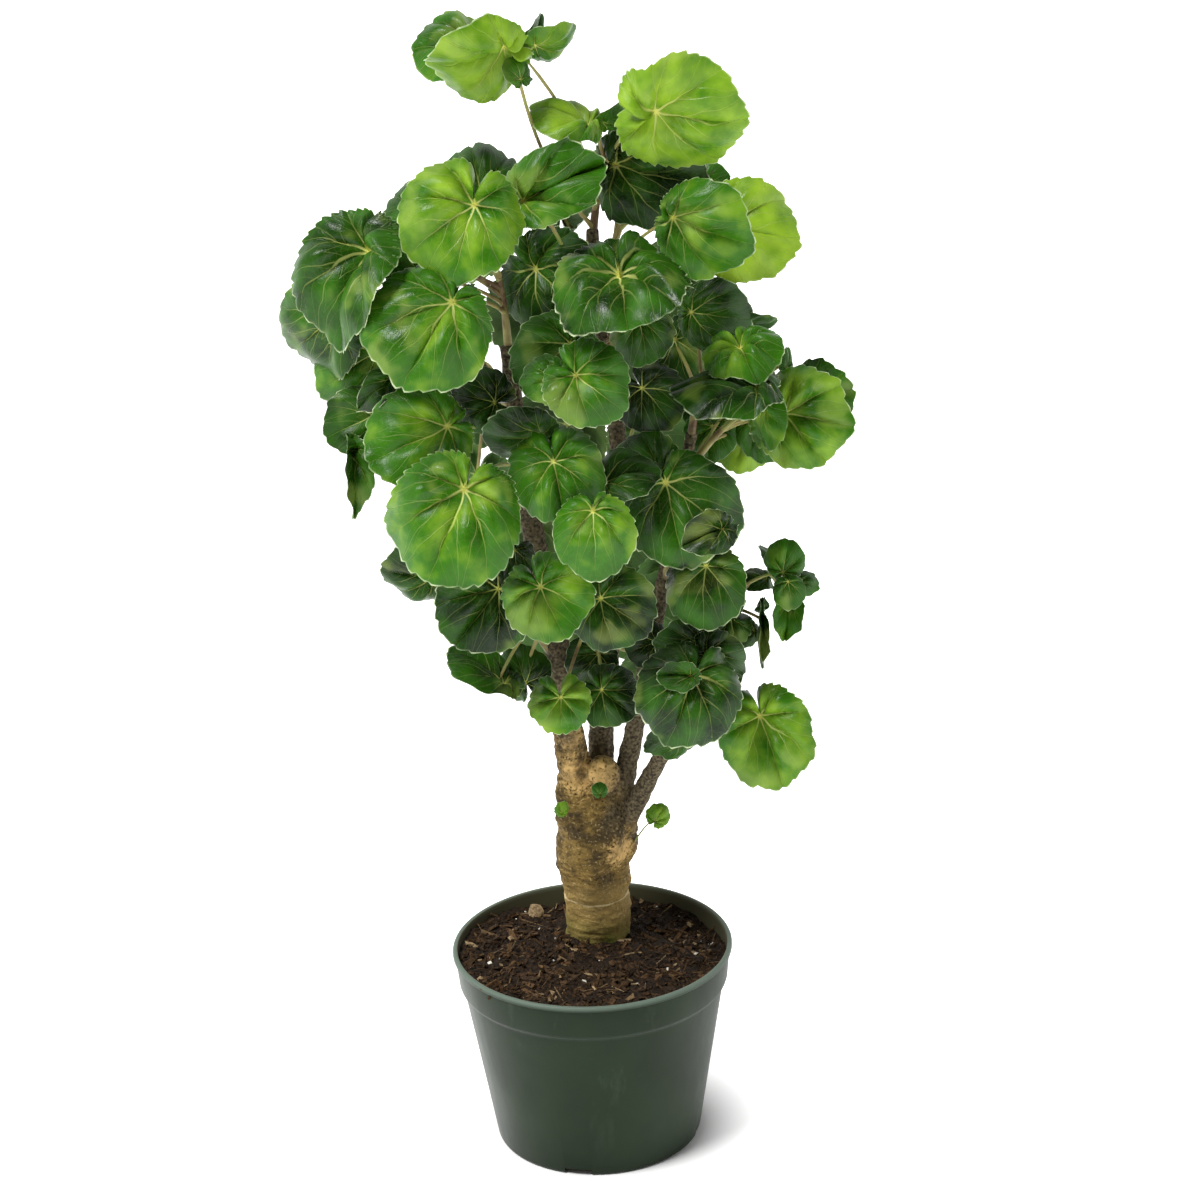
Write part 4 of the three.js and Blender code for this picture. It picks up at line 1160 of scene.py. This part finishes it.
# %% [markdown]
# The soil
#
# Potting mix of this kind is composted bark and peat with white grains of perlite. The ground is
# a profile spun round the pot's axis and closed below, and its top corners are then raised by
# the same rule as the solid's, with two hollows and a fine crumb on top.

# %% Ground
SOIL_LEVEL = 144
RIM_RADIUS, RIM_INSIDE = 103, 101
LUMP = 1.4
# Where each hollow is, how wide and how deep, in mm
HOLLOWS = [(on_level(553, 905, SOIL_LEVEL), 17, 8), (on_level(694, 925, SOIL_LEVEL), 22, 5)]
WALL_GAP = 2.1
SOIL_RINGS, SOIL_SPIN = 56, 180
SOIL_BELOW = [(97.0, 126), (94.2, 123), (74, 2.8), (0, 2.8)]  # radius and height in mm


def spun(profile, steps):
    """A closed shell: a profile of radius and height, spun round the pot's axis."""
    bm = bmesh.new()
    corners = [bm.verts.new((radius, 0, z)) for radius, z in profile]
    for a, b in zip(corners, corners[1:]):
        bm.edges.new((a, b))
    bmesh.ops.spin(bm, geom=bm.verts[:] + bm.edges[:], cent=(0, 0, 0), axis=(0, 0, 1),
                   angle=math.tau, steps=steps, use_merge=True)
    bmesh.ops.remove_doubles(bm, verts=bm.verts, dist=1e-3)
    return bm


def ground_height(x, y):
    fall = (-3 * y - 2 * x) / RIM_RADIUS
    lumps = math.sin(x * 0.21 + 1.3) * math.cos(y * 0.17 - 0.4) + 0.6 * math.sin((x + y) * 0.37)
    dips = sum(deep * math.exp(-((Vector((x, y)) - spot.xy).length / wide) ** 2)
               for spot, wide, deep in HOLLOWS)
    return SOIL_LEVEL + fall + LUMP * lumps - dips


def crumb(x, y):
    coarse = noise.noise(Vector((x / 7, y / 7, 1)))
    fine = noise.noise(Vector((x / 2.6, y / 2.6, 4)))
    return 1.3 * coarse + 1.0 * fine


top_radius = RIM_INSIDE - WALL_GAP
soil_top = [(top_radius * k / SOIL_RINGS, SOIL_LEVEL) for k in range(SOIL_RINGS + 1)]
ground = spun(soil_top + SOIL_BELOW, SOIL_SPIN)
ground.verts.layers.float.new("chip")
for vert in ground.verts:
    if vert.co.z > SOIL_LEVEL - 1:
        x, y = vert.co.xy
        vert.co.z = ground_height(x, y) + crumb(x, y)
print("soil top runs from", round(ground_height(0, -98)), "to", round(ground_height(0, 98)), "mm")

# %% [markdown]
# On the ground lie some two thousand chips of bark, each a tapered block of six faces with its
# corners pushed about, then fibres, and grains of perlite like tiny popcorn. A particle system
# would scatter them too, but these are real corners in one mesh, so they export as they are.

# %% Chips, fibres and perlite
scatter = random.Random(29)
TRUNK_CLEARANCE = 25  # mm from the trunk's middle
CHIP_TILT = 0.35  # radians, as a standard deviation
CHIP_REACH = 96  # mm from the pot's axis


def on_ground(reach):
    """A chance place on the soil, clear of the trunk."""
    while True:
        radius, angle = reach * math.sqrt(scatter.random()), scatter.uniform(0, math.tau)
        x, y = radius * math.cos(angle), radius * math.sin(angle)
        if (Vector((x, y)) - foot.xy).length > TRUNK_CLEARANCE:
            return x, y


def lie(x, y):
    """A matrix that lays something on the soil at x, y with a chance heading."""
    heading = Matrix.Rotation(scatter.uniform(0, math.tau), 4, "Z")
    pitch = Matrix.Rotation(scatter.gauss(0, CHIP_TILT), 4, "X")
    roll = Matrix.Rotation(scatter.gauss(0, CHIP_TILT), 4, "Y")
    height = ground_height(x, y) + crumb(x, y)
    return Matrix.Translation((x, y, height)) @ heading @ pitch @ roll


def add_chip(bm, x, y, length, width, thick, chip):
    layer = bm.verts.layers.float["chip"]
    ends = [scatter.uniform(0.15, 1), scatter.uniform(0.4, 1)]
    slant = scatter.uniform(-0.6, 0.6)
    lain = lie(x, y)
    for vert in bmesh.ops.create_cube(bm, size=1)["verts"]:
        along, across = vert.co.x * length, vert.co.y * width
        corner = Vector((along + slant * across, across * ends[along > 0], vert.co.z * thick))
        corner += Vector([scatter.uniform(-0.16, 0.16) * width for _ in range(3)])
        vert.co = lain @ corner
        vert[layer] = chip


# How many, then their length, width and thickness in mm, and how pale they are
SORTS = [
    (1500, (2, 4.5), (1.2, 2.5), (0.8, 1.6), (0.0, 0.35)),
    (620, (5, 11), (2, 4), (0.8, 1.4), (0.05, 0.5)),
    (90, (11, 20), (3.5, 6.5), (1, 1.8), (0.15, 0.7)),
    (40, (4, 11), (2, 4.5), (0.8, 1.3), (0.8, 1.0)),
    (130, (8, 20), (0.7, 1.1), (0.7, 1), (0.3, 0.9)),
]
for count, *ranges in SORTS:
    for _ in range(count):
        add_chip(ground, *on_ground(CHIP_REACH), *(scatter.uniform(*span) for span in ranges))

# A bit of dry leaf and a tan flake that stand out in the photograph, by their pixels
LEAF_BIT_SEEN, FLAKE_SEEN = (468, 940), (535, 910)
LEAF_BIT_SIZE, FLAKE_SIZE = (16, 6, 1.5), (6, 7, 2.4)
FLAKE_RISE, FLAKE_LEAN = 4, 0.9  # mm, radians
leaf_bit = on_level(*LEAF_BIT_SEEN, SOIL_LEVEL + 2)
add_chip(ground, leaf_bit.x, leaf_bit.y, *LEAF_BIT_SIZE, 1)
tan_flake = on_level(*FLAKE_SEEN, SOIL_LEVEL + 3)
flake = lie(tan_flake.x, tan_flake.y) @ Matrix.Translation((0, 0, FLAKE_RISE))
flake = flake @ Matrix.Rotation(FLAKE_LEAN, 4, "X") @ Matrix.Diagonal((*FLAKE_SIZE, 1))
for vert in bmesh.ops.create_icosphere(ground, subdivisions=2, radius=1, matrix=flake)["verts"]:
    vert.co += Vector([scatter.uniform(-0.9, 0.9) for _ in range(3)])
    vert[ground.verts.layers.float["chip"]] = 0.95
print("corners in the soil so far:", len(ground.verts))

# %% Perlite
PERLITE_SEEN = [(516, 900), (584, 981), (637, 982), (490, 964), (696, 951), (553, 958), (668, 968)]
PERLITE_REACH, SMALL_REACH = 92, 94  # mm from the pot's axis, so that none is in the wall
SMALL_GRAINS = 34
PERLITE_FINISH = 1  # its place in the soil's list of finishes
spots = [on_level(u, v, SOIL_LEVEL + 2).xy for u, v in PERLITE_SEEN]
spots = [spot * min(1, PERLITE_REACH / spot.length) for spot in spots]
spots += [Vector(on_ground(SMALL_REACH)) for _ in range(SMALL_GRAINS)]
for i, (x, y) in enumerate(spots):
    radius = scatter.uniform(1.3, 2.1) if i < len(PERLITE_SEEN) else scatter.uniform(0.4, 1.2)
    grain = bmesh.ops.create_icosphere(ground, subdivisions=1, radius=radius, matrix=lie(x, y))
    for vert in grain["verts"]:
        vert.co += Vector([scatter.uniform(-0.25, 0.25) * radius for _ in range(3)])
    for face in {face for vert in grain["verts"] for face in vert.link_faces}:
        face.material_index = PERLITE_FINISH
print("grains of perlite:", len(spots))

# %% [markdown]
# Wet composted bark is nearly black-brown with a dull face; a chip's own attribute makes it
# redder or paler than the crumb around it. Perlite is glass foam, matte white.

# %% Soil finishes
mix_finish, tree = new_finish("composted_bark_mix")
where = add(tree, "TexCoord").outputs["Object"]
chip = add(tree, "Attribute", attribute_name="chip").outputs["Fac"]
crumbs = clouds(tree, where, 2.2, 4.0)
tint = remap(tree, crumbs, 0.35, 0.65, 0.0, 1.0)
base = mix(tree, tint, "#100a04", "#2c1e10")
bark_tint = mix(tree, tint, "#3c2916", "#664b2d")
pale_tint = mix(tree, tint, "#7d6a4e", "#b39a74")
dark_chip = remap(tree, chip, 0.05, 0.6, 0.0, 1.0)
pale_chip = remap(tree, chip, 0.6, 1.0, 0.0, 1.0)
colour = mix(tree, dark_chip, base, bark_tint)
colour = mix(tree, pale_chip, colour, pale_tint)
relief = add(tree, "Bump", {"Strength": 1.0, "Distance": 1.2 * MM, "Height": crumbs})
shader = add(tree, "BsdfPrincipled", {
    "Base Color": colour, "Normal": relief, "IOR": 1.4, "Specular IOR Level": 0.3,
    "Roughness": remap(tree, crumbs, 0.35, 0.65, 0.95, 0.72),
})
add(tree, "OutputMaterial", [shader])

perlite_finish, tree = new_finish("perlite_foam")
where = add(tree, "TexCoord").outputs["Object"]
foam = add(tree, "TexVoronoi", {"Vector": where, "Scale": per_mm(0.7)})
colour = mix(tree, foam, "#f2efe6", "#cfc8b8")
relief = add(tree, "Bump", {"Strength": 0.8, "Distance": 0.4 * MM, "Height": foam})
shader = add(tree, "BsdfPrincipled", {"Base Color": colour, "Normal": relief, "Roughness": 0.9})
add(tree, "OutputMaterial", [shader])
finish_piece("potting_mix", ground, [mix_finish, perlite_finish], "soil")

# %% [markdown]
# The pot
#
# A nursery pot is injection moulded from polypropylene: a thin tapered wall with a deeper collar,
# a rolled lip, rounded foot and four drain slots. Its profile is spun in one turn, outside up and
# inside down, with the lip and foot rounded by a few corners each, and boxes cut the slots.

# %% Pot shape
# Radius and height in mm
LIP = [(101.2, 147.6), (102.4, 148.0), (103.0, 148.9), (103.0, 150.6), (102.6, 151.5),
       (101.7, 152.0), (100.3, 152.0), (99.6, 151.6), (99.35, 150.9)]
FOOT = [(0, 0), (60, 0), (72.6, 0), (74.6, 0.4), (75.7, 1.3), (76.2, 2.6)]
WALL_OUT = [(86, 62), (95.9, 121.2), (96.4, 123.2), (97.4, 124.2), (98.7, 125.4), (99.2, 127)]
WALL_IN = [(97.6, 127), (97.0, 125.4), (94.8, 122.8), (84.2, 60), (74, 5), (72.4, 3), (0, 2.5)]
POT_SPIN = 192
pot = spun(FOOT + WALL_OUT + LIP + WALL_IN, POT_SPIN)
bmesh.ops.recalc_face_normals(pot, faces=pot.faces)
print("pot height:", max(vert.co.z for vert in pot.verts), "mm")

# %% Drain slots
SLOT = (20, 14, 10)
SLOT_RADIUS = 74
SLOT_TURN = math.radians(-13)
cutters = bmesh.new()
for quarter in range(4):
    turned = Matrix.Rotation(SLOT_TURN + math.pi / 2 * quarter, 4, "Z")
    box = turned @ Matrix.Translation((0, -SLOT_RADIUS, 0)) @ Matrix.Diagonal((*SLOT, 1))
    bmesh.ops.create_cube(cutters, size=1, matrix=box)
shell, blocks = object_of(pot, "pot_draft"), object_of(cutters, "slot_draft")
cut = shell.modifiers.new("slots", "BOOLEAN")
cut.operation, cut.object, cut.solver = "DIFFERENCE", blocks, "EXACT"
read_back(pot, shell)
bpy.data.objects.remove(blocks)
print("open edges after the cut:", sum(not edge.is_manifold for edge in pot.edges))

# %% [markdown]
# Moulded plastic has a faint grain and a low satin shine. The top of the lip is paler, and potting
# leaves dust that fades downwards. Inside, above the soil, the wall is a lighter brown: partly a
# soil stain and partly painted light on the shaded wall. The collar's wall leans out by the same
# share inside and outside, so a radius less that share of the height tells the one face from the
# other.

# %% Pot finish
COLLAR_LEAN = 0.08
INNER_FACE, BETWEEN_FACES = 0.088, 0.0884  # m, the radius less that share of the height
COLLAR_FOOT, COLLAR_FULL = 0.127, 0.13  # m above the floor
pot_finish, tree = new_finish("moulded_green_polypropylene")
where = add(tree, "TexCoord").outputs["Object"]
height = add(tree, "SeparateXYZ", [where]).outputs["Z"]
cloudy = clouds(tree, where, 60, 4.0)
tint = remap(tree, cloudy, 0.35, 0.65, 0.0, 1.0)
colour = mix(tree, tint, "#132110", "#192914")
smear_place = add(tree, "Mapping", {"Vector": where, "Scale": (1, 1, 0.3)})
smear = clouds(tree, smear_place, 24, 6.0, 0.7)
dust = remap(tree, smear, 0.58, 0.8, 0.0, 0.12)
high = remap(tree, height, 0.02, 0.152, 0.25, 1.0)
dust = maths(tree, "MULTIPLY", dust, high)
colour = mix(tree, dust, colour, "#8a9684")
# The top of the lip is paler.
lip = remap(tree, height, 0.1485, 0.1515, 0.0, 0.62)
colour = mix(tree, lip, colour, "#77877a")
across = add(tree, "VectorMath", [where, (1, 1, 0)], operation="MULTIPLY")
radius = add(tree, "VectorMath", [across], operation="LENGTH")
taper = maths(tree, "MULTIPLY_ADD", height, -COLLAR_LEAN, radius)
# The inner wall above the soil is a lighter brown: a soil stain and painted light on its shaded
# face.
inside = remap(tree, taper, BETWEEN_FACES, INNER_FACE, 0.0, 0.5)
upper = remap(tree, height, COLLAR_FOOT, COLLAR_FULL, 0.0, 1.0)
soil_stain_and_light = maths(tree, "MULTIPLY", inside, upper)
colour = mix(tree, soil_stain_and_light, colour, "#625c45")
mould_grain = clouds(tree, where, 0.9, 2.0)
relief = add(tree, "Bump", {"Strength": 0.25, "Distance": 0.2 * MM, "Height": mould_grain})
rough = remap(tree, smear, 0.3, 0.7, 0.36, 0.5)
shader = add(tree, "BsdfPrincipled", {
    "Base Color": colour, "Roughness": rough, "Normal": relief, "IOR": 1.49,
    "Specular IOR Level": 0.13, "Sheen Weight": 0.08, "Sheen Roughness": 0.4,
})
add(tree, "OutputMaterial", [shader])
finish_piece("nursery_pot", pot, [pot_finish], "pot", crease=38)

# %% [markdown]
# Floor and light
#
# The plant stands on a plain pale floor that runs past the edges of the frame. Away from the pot
# the floor glows a little, like a light table, which keeps the pot's shadow faint. One wide soft
# lamp from the upper left gives the leaves their shine and shape, and a pale sky does the rest.

# %% Stage
FLOOR_HALF = 60  # m
GLOW_FROM, GLOW_TO = 0.078, 0.12  # m from the pot's axis
bm = bmesh.new()
bmesh.ops.create_grid(bm, x_segments=1, y_segments=1, size=FLOOR_HALF)
floor = object_of(bm, "floor")
bm.free()
floor_finish, tree = new_finish("pale_paper")
where = add(tree, "TexCoord").outputs["Object"]
paper = clouds(tree, where, 400, 2.0)
colour = mix(tree, paper, "#f6f6f5", "#fbfbfa")
away = add(tree, "VectorMath", [where], operation="LENGTH")
glow = remap(tree, away, GLOW_FROM, GLOW_TO, 0.0, 0.8)
shader = add(tree, "BsdfPrincipled", {
    "Base Color": colour, "Roughness": 0.9, "Emission Color": "#ffffff", "Emission Strength": glow,
})
add(tree, "OutputMaterial", [shader])
floor.data.materials.append(floor_finish)
print("floor:", round(floor.dimensions.x), "m wide")

# %% [markdown]
# The sky is pale behind the plant, at its sides and low down, and dim overhead and where the
# photographer stands, as in a room with white walls. That keeps the fronts of the leaves deep
# green and puts the light on the edges of the pot.

# %% Sky
world = bpy.data.worlds.new("pale_room")
scene.world = world
world.use_nodes = True
tree = world.node_tree
tree.nodes.clear()
way = add(tree, "SeparateXYZ", [add(tree, "TexCoord").outputs["Generated"]])
wall = remap(tree, way.outputs["Y"], 0.0, 0.7, 0.0, 1.0)
skirting = remap(tree, way.outputs["Z"], 0.22, 0.04, 0.0, 1.0)
beside = maths(tree, "ABSOLUTE", way.outputs["X"])
beside = remap(tree, beside, 0.55, 0.95, 0.0, 1.0)
bright = maths(tree, "MAXIMUM", wall, beside)
bright = maths(tree, "MAXIMUM", bright, skirting)
bright = remap(tree, bright, 0.0, 1.0, 0.1, 0.95, interpolation_type="SMOOTHSTEP")
sky = add(tree, "Background", {"Color": "#ffffff", "Strength": bright})
add(tree, "OutputWorld", [sky])
print("sky nodes:", len(tree.nodes))

# %% Lamps
SUN_WAY = Vector((0.62, 0.45, -1.3))  # the light comes from the upper left, over the viewer
sun_data = bpy.data.lights.new("high_window", "SUN")
sun_data.energy, sun_data.angle = 3.3, math.radians(22)
sun = bpy.data.objects.new("high_window", sun_data)
sun.rotation_euler = SUN_WAY.to_track_quat("-Z", "Y").to_euler()
scene.collection.objects.link(sun)
scene.view_settings.view_transform = "Standard"
